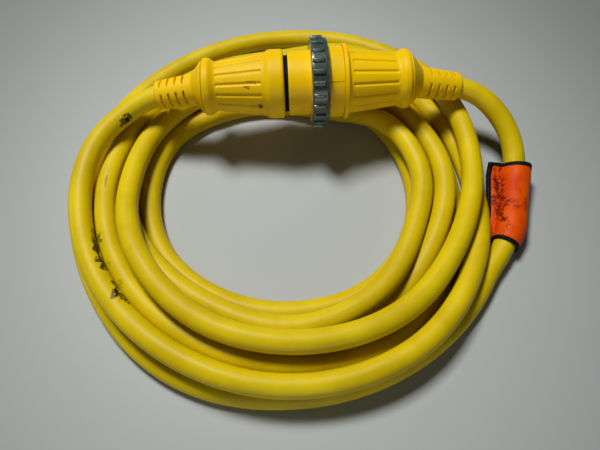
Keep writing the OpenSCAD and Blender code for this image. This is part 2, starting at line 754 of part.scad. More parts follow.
module connector_clamp() {
    color(steel_tone) in_boot(connector_bend_x, 1, boot_tilt_connector) clamp();
}
module plug_clamp() {
    color(steel_tone) in_boot(plug_bend_x, -1, boot_tilt_plug) clamp();
}
module connector_clamp_screws() {
    color(brass_tone) in_boot(connector_bend_x, 1, boot_tilt_connector) clamp_screws();
}
module plug_clamp_screws() {
    color(brass_tone) in_boot(plug_bend_x, -1, boot_tilt_plug) clamp_screws();
}

// The jacket inside a boot, with the three holes that the wires leave by.
module cord_end(tip_u) {
    translate([0, 0, jacket_end_u]) difference() {
        cylinder(d = cord_d, h = tip_u - jacket_end_u);
        for (a = [60, 180, 300]) rotate([0, 0, a]) translate([wire_circle_r + 0.2, 0, -1])
            cylinder(r = wire_d / 2 + seat_gap, h = 4, $fn = 32);
    }
}

module connector_cord_end() {
    color(jacket_yellow) in_boot(connector_bend_x, 1, boot_tilt_connector)
        cord_end(connector_tip_u);
}
module plug_cord_end() {
    color(jacket_yellow) in_boot(plug_bend_x, -1, boot_tilt_plug) cord_end(plug_tip_u);
}

// One wire: out of the jacket, across, and into its terminal.
wire_sides = 12;

module wire(bend_x, dir, tilt, jacket_angle, terminal_x, terminal_r, terminal_angle) {
    w = wire_circle_r + 0.2;
    across = w * sin(jacket_angle);
    up = -dir * w * cos(jacket_angle);
    inside = boot_point(bend_x, dir, tilt, jacket_end_u + 2.8, across, up);
    leaves = boot_point(bend_x, dir, tilt, jacket_end_u - 1.5, across, up);
    seat = [terminal_x + dir * (terminal_depth - wire_seat + 0.2),
        axis_y + terminal_r * sin(terminal_angle), axis_z - terminal_r * cos(terminal_angle)];
    enters = seat + [dir * (wire_seat + 1.2), 0, 0];
    tube([inside, leaves, enters, seat], wire_d / 2, wire_sides, unit(leaves - inside),
        [-dir, 0, 0]);
}

module connector_wire(jacket_angle, contact_at) {
    wire(connector_bend_x, 1, boot_tilt_connector, jacket_angle, connector_terminal_x,
        terminal_r_connector, contact_at + mid_blade);
}
module plug_wire(jacket_angle, blade_at) {
    wire(plug_bend_x, -1, boot_tilt_plug, jacket_angle, plug_terminal_x,
        terminal_r_plug, blade_at + mid_blade);
}

module connector_wire_line() { color("black") connector_wire(60, line_angle); }
module connector_wire_neutral() { color("white") connector_wire(180, neutral_angle); }
module connector_wire_ground() { color("green") connector_wire(300, ground_angle); }
module plug_wire_line() { color("black") plug_wire(180, line_angle); }
module plug_wire_neutral() { color("white") plug_wire(60, neutral_angle); }
module plug_wire_ground() { color("green") plug_wire(300, ground_angle); }

// ---- Cord and tag -----------------------------------------------------
coil_sides = 6;
lead_sides = 8;
coil_first = unit(coil_path[1] - coil_path[0]);
coil_last = unit(coil_path[len(coil_path) - 1] - coil_path[len(coil_path) - 2]);
plug_exit = unit(boot_point(0, -1, boot_tilt_plug, 1) - boot_point(0, -1, boot_tilt_plug, 0));
connector_entry = unit(boot_point(0, 1, boot_tilt_connector, 0)
    - boot_point(0, 1, boot_tilt_connector, 1));

module cord_coil() {
    color(jacket_yellow) tube(coil_path, cord_d / 2, coil_sides, coil_first, coil_last);
}
module cord_lead_plug() {
    color(jacket_yellow) tube(plug_lead_path, cord_d / 2, lead_sides, plug_exit, coil_first);
}
module cord_lead_connector() {
    color(jacket_yellow) tube(connector_lead_path, cord_d / 2, lead_sides, coil_last,
        connector_entry);
}

// The tag wraps the cord between these points of the connector's lead. Its
// flap points to the coil and reaches further the higher it sits.
tag_first = 2;
tag_last = 7;
tag_path = [for (i = [tag_first:tag_last]) connector_lead_path[i]];
tag_heading_first = unit(connector_lead_path[tag_first + 1] - connector_lead_path[tag_first - 1]);
tag_heading_last = unit(connector_lead_path[tag_last + 1] - connector_lead_path[tag_last - 1]);
tag_in = cord_d / 2 + tag_play + tag_slack;
tag_out = tag_in + tag_thickness;
flap_reach = [14, 15.5, 16.5, 18.5, 21, 21];
flap_angle = 200;
tag_sides = 24;

function tag_inner() = [for (q = round_section(tag_in, tag_sides)) q + [tag_slack, 0]];
function tag_outer(reach, extra = 0) = [for (q = round_section(tag_out + extra, tag_sides))
    let (a = (atan2(q[1], q[0]) + 360) % 360, off = a - flap_angle)
    abs(off) < 9 ? [(reach + extra) * cos(flap_angle + off * 0.45),
        (reach + extra) * sin(flap_angle + off * 0.45)] : q + [tag_slack, 0]];

module tag_sleeve() {
    color(tag_orange) sleeve(tag_path, [for (r = flap_reach) tag_outer(r)], tag_inner(),
        tag_heading_first, tag_heading_last, 0.5);
}

module tag_binding() {
    edge = 0.5;
    first_in = tag_path[0] - tag_heading_first * seat_gap;
    first_out = first_in - tag_heading_first * binding_width;
    last_in = tag_path[len(tag_path) - 1] + tag_heading_last * seat_gap;
    last_out = last_in + tag_heading_last * binding_width;
    color(insulator_dark) {
        sleeve([first_out, first_in], [for (i = [0, 1]) tag_outer(flap_reach[0], edge)],
            tag_inner(), tag_heading_first, tag_heading_first, 0.5);
        sleeve([last_in, last_out],
            [for (i = [0, 1]) tag_outer(flap_reach[5], edge)], tag_inner(),
            tag_heading_last, tag_heading_last, 0.5);
    }
}

cord_coil();
cord_lead_plug();
cord_lead_connector();
tag_sleeve();
tag_binding();
connector_body();
connector_nose();
nose_screws();
connector_boot();
connector_face();
contact_line();
contact_neutral();
contact_ground();
connector_terminal_screws();
connector_clamp();
connector_clamp_screws();
connector_cord_end();
connector_wire_line();
connector_wire_neutral();
connector_wire_ground();
ring_washer();
locking_ring();
plug_collar();
collar_gasket();
collar_snap_ring();
plug_body();
plug_boot();
plug_face();
lock_pin();
blade_line();
blade_neutral();
blade_ground();
plug_terminal_screws();
plug_clamp();
plug_clamp_screws();
plug_cord_end();
plug_wire_line();
plug_wire_neutral();
plug_wire_ground();
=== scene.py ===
"""Looks of the shore power cord: housings, locking ring, wound cord and cable tag.

Lengths are in metres in the parts' own frame: X runs along the couplers from
the plug to the connector, Y to the back and Z up.
"""

import sys
import logging
import math
from dataclasses import dataclass, field
from enum import Enum
from typing import Any, Sequence

import bmesh
import bpy
import numpy as np
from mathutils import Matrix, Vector


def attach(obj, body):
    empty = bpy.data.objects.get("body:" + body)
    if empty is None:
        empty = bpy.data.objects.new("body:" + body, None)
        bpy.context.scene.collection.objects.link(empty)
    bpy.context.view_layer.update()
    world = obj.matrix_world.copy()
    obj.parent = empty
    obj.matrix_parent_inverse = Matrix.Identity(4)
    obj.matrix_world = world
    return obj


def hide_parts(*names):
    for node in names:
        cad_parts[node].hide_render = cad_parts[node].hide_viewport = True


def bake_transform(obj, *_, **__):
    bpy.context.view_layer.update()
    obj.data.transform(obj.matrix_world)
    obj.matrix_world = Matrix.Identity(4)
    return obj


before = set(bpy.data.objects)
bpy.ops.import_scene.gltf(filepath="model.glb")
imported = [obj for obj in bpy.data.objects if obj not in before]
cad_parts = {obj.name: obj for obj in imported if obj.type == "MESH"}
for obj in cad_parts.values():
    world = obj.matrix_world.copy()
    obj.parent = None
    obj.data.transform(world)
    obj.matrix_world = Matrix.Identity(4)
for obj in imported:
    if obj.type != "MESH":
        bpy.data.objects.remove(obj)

log = logging.getLogger("shore_power_cord")

MM = 0.001
DEFAULT_SPECULAR = 0.5
Colour = tuple[float, float, float, float]
Point = tuple[float, float, float]


def srgb(red: int, green: int, blue: int) -> Colour:
    """Turns a display colour into the linear one that a shader takes.

    Args:
        red, green, blue: the colour's parts, from 0 to 255.

    Returns:
        The linear colour, opaque.
    """
    parts = [c / 255 for c in (red, green, blue)]
    linear = [c / 12.92 if c <= 0.04045 else ((c + 0.055) / 1.055) ** 2.4 for c in parts]
    return (linear[0], linear[1], linear[2], 1.0)


# ---- Node trees ------------------------------------------------------------


class Bench:
    """A node tree being laid out: every node on it is put down by one method."""

    def __init__(self, tree: bpy.types.NodeTree) -> None:
        """Takes an empty tree."""
        self.tree = tree

    def put(
        self,
        kind: str,
        settings: dict[str, Any] | None = None,
        values: dict[Any, Any] | None = None,
    ) -> bpy.types.Node:
        """Puts down a node, sets it up and feeds its sockets.

        Args:
            kind: the node's type.
            settings: the node's own settings; "stops" are a ramp's places and colours.
            values: socket name, index or identifier to a number, a colour or an Ink.

        Returns:
            The node.
        """
        node = self.tree.nodes.new(kind)
        for name, value in (settings or {}).items():
            if name == "stops":
                self._stops(node.color_ramp, value)
            else:
                setattr(node, name, value)
        for key, value in (values or {}).items():
            socket = self._socket(node, key)
            if isinstance(value, Ink):
                self.tree.links.new(value.socket, socket)
            elif isinstance(value, bpy.types.NodeSocket):
                self.tree.links.new(value, socket)
            else:
                socket.default_value = value
        return node

    @staticmethod
    def _socket(node: bpy.types.Node, key: Any) -> bpy.types.NodeSocket:
        """Finds an input by index, identifier or name."""
        if isinstance(key, int):
            return node.inputs[key]
        for socket in node.inputs:
            if socket.identifier == key:
                return socket
        return node.inputs[key]

    @staticmethod
    def _stops(ramp: bpy.types.ColorRamp, stops: Sequence[tuple[float, Colour]]) -> None:
        """Gives a ramp its stops."""
        while len(ramp.elements) > 1:
            ramp.elements.remove(ramp.elements[-1])
        ramp.elements[0].position, ramp.elements[0].color = stops[0]
        for place, colour in stops[1:]:
            ramp.elements.new(place).color = colour


class Ink:
    """A value in a shader tree. Sums on it put down the nodes that work them out."""

    def __init__(self, bench: "ShaderBench", socket: bpy.types.NodeSocket) -> None:
        """Wraps an output socket."""
        self.bench = bench
        self.socket = socket

    def _sum(self, operation: str, *terms: Any) -> "Ink":
        """Puts down one Math node."""
        node = self.bench.put(
            "ShaderNodeMath", {"operation": operation}, dict(enumerate(terms))
        )
        return Ink(self.bench, node.outputs[0])

    def __add__(self, other: Any) -> "Ink":
        """The sum."""
        return self._sum("ADD", self, other)

    __radd__ = __add__

    def __mul__(self, other: Any) -> "Ink":
        """The product."""
        return self._sum("MULTIPLY", self, other)

    __rmul__ = __mul__

    def __sub__(self, other: Any) -> "Ink":
        """The difference."""
        return self._sum("SUBTRACT", self, other)

    def __rsub__(self, other: Any) -> "Ink":
        """The difference from a number."""
        return self._sum("SUBTRACT", other, self)

    def __truediv__(self, other: Any) -> "Ink":
        """The quotient."""
        return self._sum("DIVIDE", self, other)

    def sine(self) -> "Ink":
        """The sine, from -1 to 1."""
        return self._sum("SINE", self)

    def capped(self) -> "Ink":
        """The value kept from 0 to 1."""
        return self._sum("MINIMUM", self._sum("MAXIMUM", self, 0.0), 1.0)

    def step(self, low: float, high: float) -> "Ink":
        """Rises smoothly from 0 at low to 1 at high, or falls where low is above high."""
        node = self.bench.put(
            "ShaderNodeMapRange",
            {"interpolation_type": "SMOOTHSTEP", "clamp": True},
            {"Value": self, "From Min": low, "From Max": high, "To Min": 0.0, "To Max": 1.0},
        )
        return Ink(self.bench, node.outputs[0])


class ShaderBench(Bench):
    """A material's tree, with the few nodes that most finishes use."""

    def __init__(self, name: str) -> None:
        """Starts a material of that name."""
        self.material = bpy.data.materials.new(name)
        self.material.use_nodes = True
        self.material.node_tree.nodes.clear()
        super().__init__(self.material.node_tree)
        coordinates = self.put("ShaderNodeTexCoord")
        self.place = Ink(self, coordinates.outputs["Object"])
        self.uv = Ink(self, coordinates.outputs["UV"])

    def stretched(self, scale: Point) -> Ink:
        """Object coordinates scaled along each axis."""
        return self.vector("MULTIPLY", self.place, scale)

    def vector(self, operation: str, first: Any, second: Any) -> Ink:
        """Puts down one Vector Math node and returns its vector."""
        node = self.put("ShaderNodeVectorMath", {"operation": operation}, {0: first, 1: second})
        return Ink(self, node.outputs["Vector"])

    def length(self, vector: Ink) -> Ink:
        """A vector's length."""
        node = self.put("ShaderNodeVectorMath", {"operation": "LENGTH"}, {0: vector})
        return Ink(self, node.outputs["Value"])

    def parts(self, vector: Ink) -> tuple[Ink, Ink, Ink]:
        """A vector's three parts."""
        node = self.put("ShaderNodeSeparateXYZ", {}, {0: vector})
        return tuple(Ink(self, o) for o in node.outputs)

    def joined(self, x: Any, y: Any, z: Any) -> Ink:
        """A vector of three values."""
        node = self.put("ShaderNodeCombineXYZ", {}, {0: x, 1: y, 2: z})
        return Ink(self, node.outputs[0])

    def noise(self, scale: float, detail: float = 3.0, place: Ink | None = None) -> Ink:
        """Cloudy noise from 0 to 1.

        Args:
            scale: blotches per metre, or per unit of place.
            detail: octaves.
            place: what it is laid over, object coordinates if left out.

        Returns:
            The noise.
        """
        node = self.put(
            "ShaderNodeTexNoise",
            {},
            {"Vector": place or self.place, "Scale": scale, "Detail": detail, "Roughness": 0.55},
        )
        return Ink(self, node.outputs[0])

    def grain(self, scale: float) -> Ink:
        """The cell pattern of a moulded or tumbled surface, from 0 to 1."""
        values = {"Vector": self.place, "Scale": scale}
        node = self.put("ShaderNodeTexVoronoi", {"feature": "F1"}, values)
        return Ink(self, node.outputs["Distance"])

    def edges(self) -> Ink:
        """How sharply the surface turns: above 0.5 on edges, below it in hollows."""
        node = self.put("ShaderNodeNewGeometry")
        return Ink(self, node.outputs["Pointiness"])

    def mix(self, share: Any, first: Any, second: Any) -> Ink:
        """Goes from the first colour to the second as share goes from 0 to 1."""
        node = self.put(
            "ShaderNodeMix",
            {"data_type": "RGBA", "clamp_factor": True},
            {"Factor_Float": share, "A_Color": first, "B_Color": second},
        )
        return Ink(self, next(o for o in node.outputs if o.identifier == "Result_Color"))

    def bump(self, height: Ink, depth: float, strength: float, under: Ink | None = None) -> Ink:
        """Raises the surface by height times depth, in metres, on top of another bump."""
        values: dict[Any, Any] = {"Height": height, "Distance": depth, "Strength": strength}
        if under is not None:
            values["Normal"] = under
        return Ink(self, self.put("ShaderNodeBump", {}, values).outputs[0])

    def finish(self, **sockets: Any) -> bpy.types.Material:
        """Closes the tree with its shader.

        Args:
            sockets: the shader's socket names, with underscores for spaces.

        Returns:
            The material.
        """
        values = {name.replace("_", " "): value for name, value in sockets.items()}
        values["Specular IOR Level"] = values.pop("Specular", DEFAULT_SPECULAR)
        shader = self.put("ShaderNodeBsdfPrincipled", {}, values)
        self.put("ShaderNodeOutputMaterial", {}, {"Surface": shader.outputs[0]})
        return self.material


# ---- Finishes --------------------------------------------------------------
#
# A finish's noise scales are in blotches per metre, its shares are how much of
# a second colour shows where it is strongest, and a bump's depth is in metres.


@dataclass(frozen=True)
class Scuff:
    """A dark rub mark: where it is, how far it reaches along each axis, and how dark.

    Its centre and reach are in millimetres.
    """

    centre: Point
    reach: Point
    strength: float = 0.9
    ragged_scale: float = 260.0
    raggedness: float = 2.2

    def mask(self, bench: ShaderBench) -> Ink:
        """The mark's share over the surface, fading out at its edge."""
        away = bench.vector("SUBTRACT", bench.place, tuple(c * MM for c in self.centre))
        spread = bench.vector("DIVIDE", away, tuple(r * MM for r in self.reach))
        torn = (bench.noise(self.ragged_scale, 4) - 0.5) * self.raggedness
        return (bench.length(spread) + torn).step(1.0, 0.7) * self.strength


def all_marks(
    bench: ShaderBench, marks: Sequence[Scuff], low: float = 0.30, high: float = 0.50
) -> Ink:
    """The marks' shares added up and broken like real rub marks.

    Args:
        bench: the material's bench.
        marks: the marks, one or more.
        low, high: the noise at which the marks are gone and whole.

    Returns:
        The share of the marks, from 0 to 1.
    """
    crumbs = 480.0
    total = marks[0].mask(bench)
    for mark in marks[1:]:
        total = total + mark.mask(bench)
    return (total * bench.noise(crumbs, 4).step(low, high)).capped()


@dataclass(frozen=True)
class MouldedYellow:
    """The housings' weatherproof yellow: smooth, a little waxy, dulled by handling, with painted
    shade darkening its hollows.
    """

    name: str
    tint: Colour = srgb(238, 195, 0)
    deep: Colour = srgb(212, 164, 0)
    # Painted shade: the darker colour laid into hollows, where shade falls.
    hollow_shade_colour: Colour = srgb(120, 84, 0)
    rubbed: Colour = srgb(244, 214, 70)
    grimy: Colour = srgb(128, 96, 10)
    scuffed: Colour = srgb(44, 32, 4)
    deep_share: float = 0.35
    hollow_shade_share: float = 0.55
    rub_share: float = 0.35
    grime_share: float = 0.22
    roughness: float = 0.44
    shine: float = 0.16
    cloud_scale: float = 34.0
    rub_scale: float = 180.0
    grime_scale: float = 75.0
    grime_stretch: Point = (0.35, 1.0, 1.0)
    grain_scale: float = 1500.0
    grain_depth: float = 0.00003
    swell_scale: float = 260.0
    swell_depth: float = 0.00006
    marks: tuple[Scuff, ...] = ()

    def material(self) -> bpy.types.Material:
        """Lays out the finish."""
        bench = ShaderBench(self.name)
        cloud = bench.noise(self.cloud_scale, 4)
        colour = bench.mix(cloud.step(0.34, 0.72) * self.deep_share, self.tint, self.deep)
        # Painted shade: the colour darkens in hollows, where the surface turns inwards.
        hollow_shade_mask = bench.edges().step(0.5, 0.40)
        colour = bench.mix(hollow_shade_mask * self.hollow_shade_share, colour, self.hollow_shade_colour)
        worn = bench.noise(self.rub_scale, 3).step(0.42, 0.62)
        rub = bench.edges().step(0.53, 0.60) * worn
        colour = bench.mix(rub * self.rub_share, colour, self.rubbed)
        smears = bench.stretched(self.grime_stretch)
        grime = bench.noise(self.grime_scale, 5, smears).step(0.60, 0.80)
        colour = bench.mix(grime * self.grime_share, colour, self.grimy)
        if self.marks:
            colour = bench.mix(all_marks(bench, self.marks), colour, self.scuffed)
        rough = cloud * 0.16 + (self.roughness - 0.08) + grime * 0.12
        skin = bench.bump(bench.grain(self.grain_scale), self.grain_depth, 0.5)
        skin = bench.bump(bench.noise(self.swell_scale, 3), self.swell_depth, 0.6, skin)
        return bench.finish(
            Base_Color=colour, Roughness=rough, Normal=skin, Specular=self.shine,
        )


@dataclass(frozen=True)
class CordJacket:
    """The cord's yellow rubber jacket, with the lay of the wires just telling through."""

    name: str
    tint: Colour = srgb(216, 190, 6)
    deep: Colour = srgb(184, 156, 0)
    streaked: Colour = srgb(150, 128, 8)
    chalky: Colour = srgb(226, 204, 40)
    scuffed: Colour = srgb(30, 24, 6)
    deep_share: float = 0.6
    streak_share: float = 0.30
    chalk_share: float = 0.14
    roughness: float = 0.38
    shine: float = 0.2
    wires: float = 3.0
    lay_length: float = 0.135
    lay_depth: float = 0.00022
    cloud_scale: float = 26.0
    chalk_scale: float = 95.0
    streaks_along: float = 9.0
    streaks_around: float = 7.0
    skin_scale: float = 330.0
    skin_depth: float = 0.00008
    marks: tuple[Scuff, ...] = ()

    def material(self) -> bpy.types.Material:
        """Lays out the finish; the jacket's own UV runs along and around it."""
        bench = ShaderBench(self.name)
        along, around, _ = bench.parts(bench.uv)
        turn = (along / self.lay_length + around * self.wires) * (2 * math.pi)
        lay = turn.sine() * 0.5 + 0.5
        cloud = bench.noise(self.cloud_scale, 4)
        colour = bench.mix(cloud.step(0.32, 0.74) * self.deep_share, self.tint, self.deep)
        lengthways = bench.joined(along * self.streaks_along, around * self.streaks_around, 0.0)
        streak = bench.noise(1.0, 4, lengthways)
        colour = bench.mix(streak.step(0.52, 0.78) * self.streak_share, colour, self.streaked)
        chalk = bench.noise(self.chalk_scale, 5).step(0.58, 0.80)
        colour = bench.mix(chalk * self.chalk_share, colour, self.chalky)
        if self.marks:
            colour = bench.mix(all_marks(bench, self.marks), colour, self.scuffed)
        rough = streak * 0.18 + self.roughness + chalk * 0.08
        skin = bench.bump(lay, self.lay_depth, 0.55)
        skin = bench.bump(bench.noise(self.skin_scale, 4), self.skin_depth, 0.6, skin)
        return bench.finish(
            Base_Color=colour, Roughness=rough, Normal=skin, Specular=self.shine,
        )


@dataclass(frozen=True)
class RingPlastic:
    """The locking ring's dark grey glass-filled plastic, polished where hands turn it, its edges
    and rib tops paler from wear and from a painted highlight.
    """

    name: str
    tint: Colour = srgb(60, 77, 68)
    deep: Colour = srgb(36, 48, 40)
    # Pale colour for edges and rib tops: partly wear, partly a painted highlight.
    worn: Colour = srgb(176, 188, 170)
    deep_share: float = 0.5
    edge_wear_and_highlight_share: float = 0.6
    roughness: float = 0.27
    shine: float = 0.6
    polish: float = 0.12
    polish_roughness: float = 0.18
    cloud_scale: float = 60.0
    rub_scale: float = 240.0
    skin_scale: float = 700.0
    skin_depth: float = 0.00004

    def material(self) -> bpy.types.Material:
        """Lays out the finish."""
        bench = ShaderBench(self.name)
        cloud = bench.noise(self.cloud_scale, 4)
        colour = bench.mix(cloud.step(0.35, 0.70) * self.deep_share, self.tint, self.deep)
        # Edges and rib tops turn pale: partly wear, partly a painted highlight on the lit rib
        # tops.
        rub = bench.edges().step(0.52, 0.58) * bench.noise(self.rub_scale, 3).step(0.36, 0.58)
        colour = bench.mix(rub * self.edge_wear_and_highlight_share, colour, self.worn)
        rough = cloud * 0.20 + (self.roughness - 0.10)
        skin = bench.bump(bench.noise(self.skin_scale, 3), self.skin_depth, 0.5)
        return bench.finish(
            Base_Color=colour, Roughness=rough, Normal=skin, Specular=self.shine,
            Coat_Weight=self.polish, Coat_Roughness=self.polish_roughness,
        )


@dataclass(frozen=True)
class TagCloth:
    """The tag's orange coated cloth: a fine weave, rubbed, with dark streaks and dark marks along
    its folds.
    """

    name: str
    tint: Colour = srgb(222, 84, 0)
    deep: Colour = srgb(204, 62, 0)
    smudge: Colour = srgb(92, 10, 2)
    faded: Colour = srgb(238, 112, 12)
    dirt_share: float = 0.85
    fade_share: float = 0.16
    roughness: float = 0.42
    shine: float = 0.12
    threads: float = 1500.0
    thread_depth: float = 0.00006
    cloud_scale: float = 52.0
    dirt_scale: float = 38.0
    fade_scale: float = 120.0
    streaks_across: float = 240.0
    streaks_along: float = 42.0
    rumple_scale: float = 150.0
    rumple_depth: float = 0.0004
    marks: tuple[Scuff, ...] = ()

    def material(self) -> bpy.types.Material:
        """Lays out the finish; the cloth's UV runs round the cord and along it, in metres."""
        bench = ShaderBench(self.name)
        across, up, _ = bench.parts(bench.uv)
        weave = (across * self.threads).sine() * (up * self.threads).sine() * 0.5 + 0.5
        cloud = bench.noise(self.cloud_scale, 4)
        colour = bench.mix(cloud.step(0.34, 0.70), self.tint, self.deep)
        lengthways = bench.joined(across * self.streaks_across, up * self.streaks_along, 0.0)
        streaks = bench.noise(1.0, 5, lengthways).step(0.56, 0.74)
        dirt = streaks * bench.noise(self.dirt_scale, 3).step(0.46, 0.62)
        colour = bench.mix(dirt * self.dirt_share, colour, self.smudge)
        if self.marks:
            colour = bench.mix(all_marks(bench, self.marks, 0.34, 0.62), colour, self.smudge)
        fade = bench.noise(self.fade_scale, 4).step(0.58, 0.78)
        colour = bench.mix(fade * self.fade_share, colour, self.faded)
        skin = bench.bump(weave, self.thread_depth, 0.5)
        skin = bench.bump(bench.noise(self.rumple_scale, 4), self.rumple_depth, 0.5, skin)
        return bench.finish(
            Base_Color=colour, Roughness=cloud * 0.2 + self.roughness, Normal=skin,
            Specular=self.shine,
        )


@dataclass(frozen=True)
class BindingTape:
    """The tag's black edge tape, a ribbed weave."""

    name: str
    tint: Colour = srgb(13, 13, 14)
    linty: Colour = srgb(84, 80, 74)
    lint_share: float = 0.16
    lint_scale: float = 420.0
    roughness: float = 0.7
    shine: float = 0.15
    ribs: float = 5200.0
    rib_depth: float = 0.00012

    def material(self) -> bpy.types.Material:
        """Lays out the finish; the ribs stand square across the tape's length."""
        bench = ShaderBench(self.name)
        across, _, _ = bench.parts(bench.uv)
        rib = (across * self.ribs).sine() * 0.5 + 0.5
        lint = bench.noise(self.lint_scale, 4).step(0.60, 0.78)
        colour = bench.mix(lint * self.lint_share, self.tint, self.linty)
        skin = bench.bump(rib, self.rib_depth, 0.7)
        return bench.finish(
            Base_Color=colour, Roughness=lint * 0.15 + self.roughness, Normal=skin,
            Specular=self.shine,
        )


@dataclass(frozen=True)
class Metal:
    """A plain plated or turned metal part, brushed and slightly tarnished."""

    name: str
    tint: Colour
    tarnish: Colour
    tarnish_share: float = 0.6
    roughness: float = 0.28
    cloud_scale: float = 160.0
    brushing: Point = (180.0, 3200.0, 3200.0)
    brush_depth: float = 0.00002

    def material(self) -> bpy.types.Material:
        """Lays out the finish."""
        bench = ShaderBench(self.name)
        cloud = bench.noise(self.cloud_scale, 4)
        brush = bench.noise(1.0, 3, bench.stretched(self.brushing))
        colour = bench.mix(cloud.step(0.45, 0.75) * self.tarnish_share, self.tint, self.tarnish)
        rough = brush * 0.16 + cloud * 0.12 + (self.roughness - 0.12)
        skin = bench.bump(brush, self.brush_depth, 0.5)
        return bench.finish(Base_Color=colour, Roughness=rough, Normal=skin, Metallic=1.0)


@dataclass(frozen=True)
class Plastic:
    """An inner moulding, seal or wire: one colour with light clouding and a fine skin."""

    name: str
    tint: Colour
    other: Colour
    dusty: Colour = srgb(150, 146, 136)
    dust_share: float = 0.12
    roughness: float = 0.45
    shine: float = 0.5
    cloud_scale: float = 90.0
    dust_scale: float = 310.0
    grain_scale: float = 900.0
    grain_depth: float = 0.00004

    def material(self) -> bpy.types.Material:
        """Lays out the finish."""
        bench = ShaderBench(self.name)
        cloud = bench.noise(self.cloud_scale, 4)
        dust = bench.noise(self.dust_scale, 4).step(0.58, 0.80)
        colour = bench.mix(cloud.step(0.35, 0.7), self.tint, self.other)
        colour = bench.mix(dust * self.dust_share, colour, self.dusty)
        rough = cloud * 0.16 + (self.roughness - 0.06) + dust * 0.1
        skin = bench.bump(bench.grain(self.grain_scale), self.grain_depth, 0.5)
        return bench.finish(
            Base_Color=colour, Roughness=rough, Normal=skin, Specular=self.shine,
        )


# ---- Meshes ----------------------------------------------------------------


def mesh_object(
    name: str,
    points: Sequence[Sequence[float]],
    faces: Sequence[Sequence[int]],
    uvs: Sequence[tuple[float, float]] | None = None,
) -> bpy.types.Object:
    """Makes a smooth-shaded mesh in the scene.

    Args:
        name: the piece's name.
        points: the mesh's points, in metres.
        faces: the faces' point numbers, turned outwards.
        uvs: one pair for each face corner, or None.

    Returns:
        The object, at the origin.
    """
    mesh = bpy.data.meshes.new(name)
    mesh.from_pydata([tuple(float(c) for c in p) for p in points], [], [tuple(f) for f in faces])
    if uvs is not None:
        layer = mesh.uv_layers.new(name="UVMap")
        layer.data.foreach_set("uv", np.array(uvs, np.float32).ravel())
    mesh.polygons.foreach_set("use_smooth", [True] * len(mesh.polygons))
    mesh.update()
    piece = bpy.data.objects.new(name, mesh)
    bpy.context.scene.collection.objects.link(piece)
    return piece


def dress(piece: bpy.types.Object, material: bpy.types.Material) -> None:
    """Gives a piece one material."""
    piece.data.materials.clear()
    piece.data.materials.append(material)


def settled(piece: bpy.types.Object) -> bpy.types.Object:
    """Turns a piece's modifiers into its mesh.

    Args:
        piece: a mesh object with modifiers.

    Returns:
        The same object, with the finished mesh and no modifiers.
    """
    bpy.context.view_layer.update()
    graph = bpy.context.evaluated_depsgraph_get()
    mesh = bpy.data.meshes.new_from_object(piece.evaluated_get(graph))
    piece.modifiers.clear()
    old = piece.data
    piece.data = mesh
    bpy.data.meshes.remove(old)
    mesh.name = piece.name
    return piece


def face_outwards(piece: bpy.types.Object, merge: float | None = None) -> None:
    """Turns a closed mesh's faces outwards.

    Args:
        piece: the mesh object.
        merge: points closer than this are joined first, in metres, unless it is None.
    """
    shell = bmesh.new()
    shell.from_mesh(piece.data)
    if merge is not None:
        bmesh.ops.remove_doubles(shell, verts=shell.verts, dist=merge)
    bmesh.ops.recalc_face_normals(shell, faces=shell.faces)
    shell.to_mesh(piece.data)
    shell.free()


def quads(
    rows: int, columns: int, rows_meet: bool = False, columns_meet: bool = False
) -> list[tuple[int, ...]]:
    """Faces between the neighbouring rows of a grid of points.

    Args:
        rows, columns: how many rows there are, and how many points in each.
        rows_meet: whether the last row joins the first.
        columns_meet: whether a row's last point joins its first.

    Returns:
        The faces' point numbers, row by row.
    """
    faces: list[tuple[int, ...]] = []
    for i in range(rows if rows_meet else rows - 1):
        here, there = i * columns, (i + 1) % rows * columns
        for k in range(columns if columns_meet else columns - 1):
            j = (k + 1) % columns
            faces.append((here + k, here + j, there + j, there + k))
    return faces


def turned_over(faces: Sequence[tuple[int, ...]]) -> list[tuple[int, ...]]:
    """The same four-sided faces, turned to the other side."""
    return [(a, d, c, b) for a, b, c, d in faces]


def headings(path: np.ndarray) -> np.ndarray:
    """Unit directions along a path, one for each point."""
    ahead = np.empty_like(path)
    ahead[1:-1] = path[2:] - path[:-2]
    ahead[0] = path[1] - path[0]
    ahead[-1] = path[-1] - path[-2]
    return ahead / np.linalg.norm(ahead, axis=1)[:, None]


def side_and_up(ahead: np.ndarray) -> tuple[np.ndarray, np.ndarray]:
    """The level and the rising direction square to each heading."""
    side = np.cross(ahead, [0.0, 0.0, 1.0])
    side /= np.linalg.norm(side, axis=1)[:, None]
    return side, np.cross(side, ahead)


def run_lengths(path: np.ndarray) -> np.ndarray:
    """The length of a path up to each of its points."""
    steps = np.linalg.norm(np.diff(path, axis=0), axis=1)
    return np.concatenate([[0.0], np.cumsum(steps)])


# ---- The cord --------------------------------------------------------------


def spline(a: Any, b: Any, c: Any, d: Any, t: float) -> Any:
    """Catmull-Rom value between b and c at the share t."""
    return 0.5 * (
        2 * b + (c - a) * t + (2 * a - 5 * b + 4 * c - d) * t * t
        + (3 * b - a - 3 * c + d) * t * t * t
    )


def along(values: np.ndarray, u: float) -> Any:
    """The spline through evenly spaced values, at the place u."""
    last = len(values) - 1
    i = min(int(math.floor(u)), last - 1)
    before = values[i - 1] if i > 0 else 2 * values[0] - values[1]
    after = values[i + 2] if i + 2 <= last else 2 * values[last] - values[last - 1]
    return spline(before, values[i], values[i + 1], after, u - i)


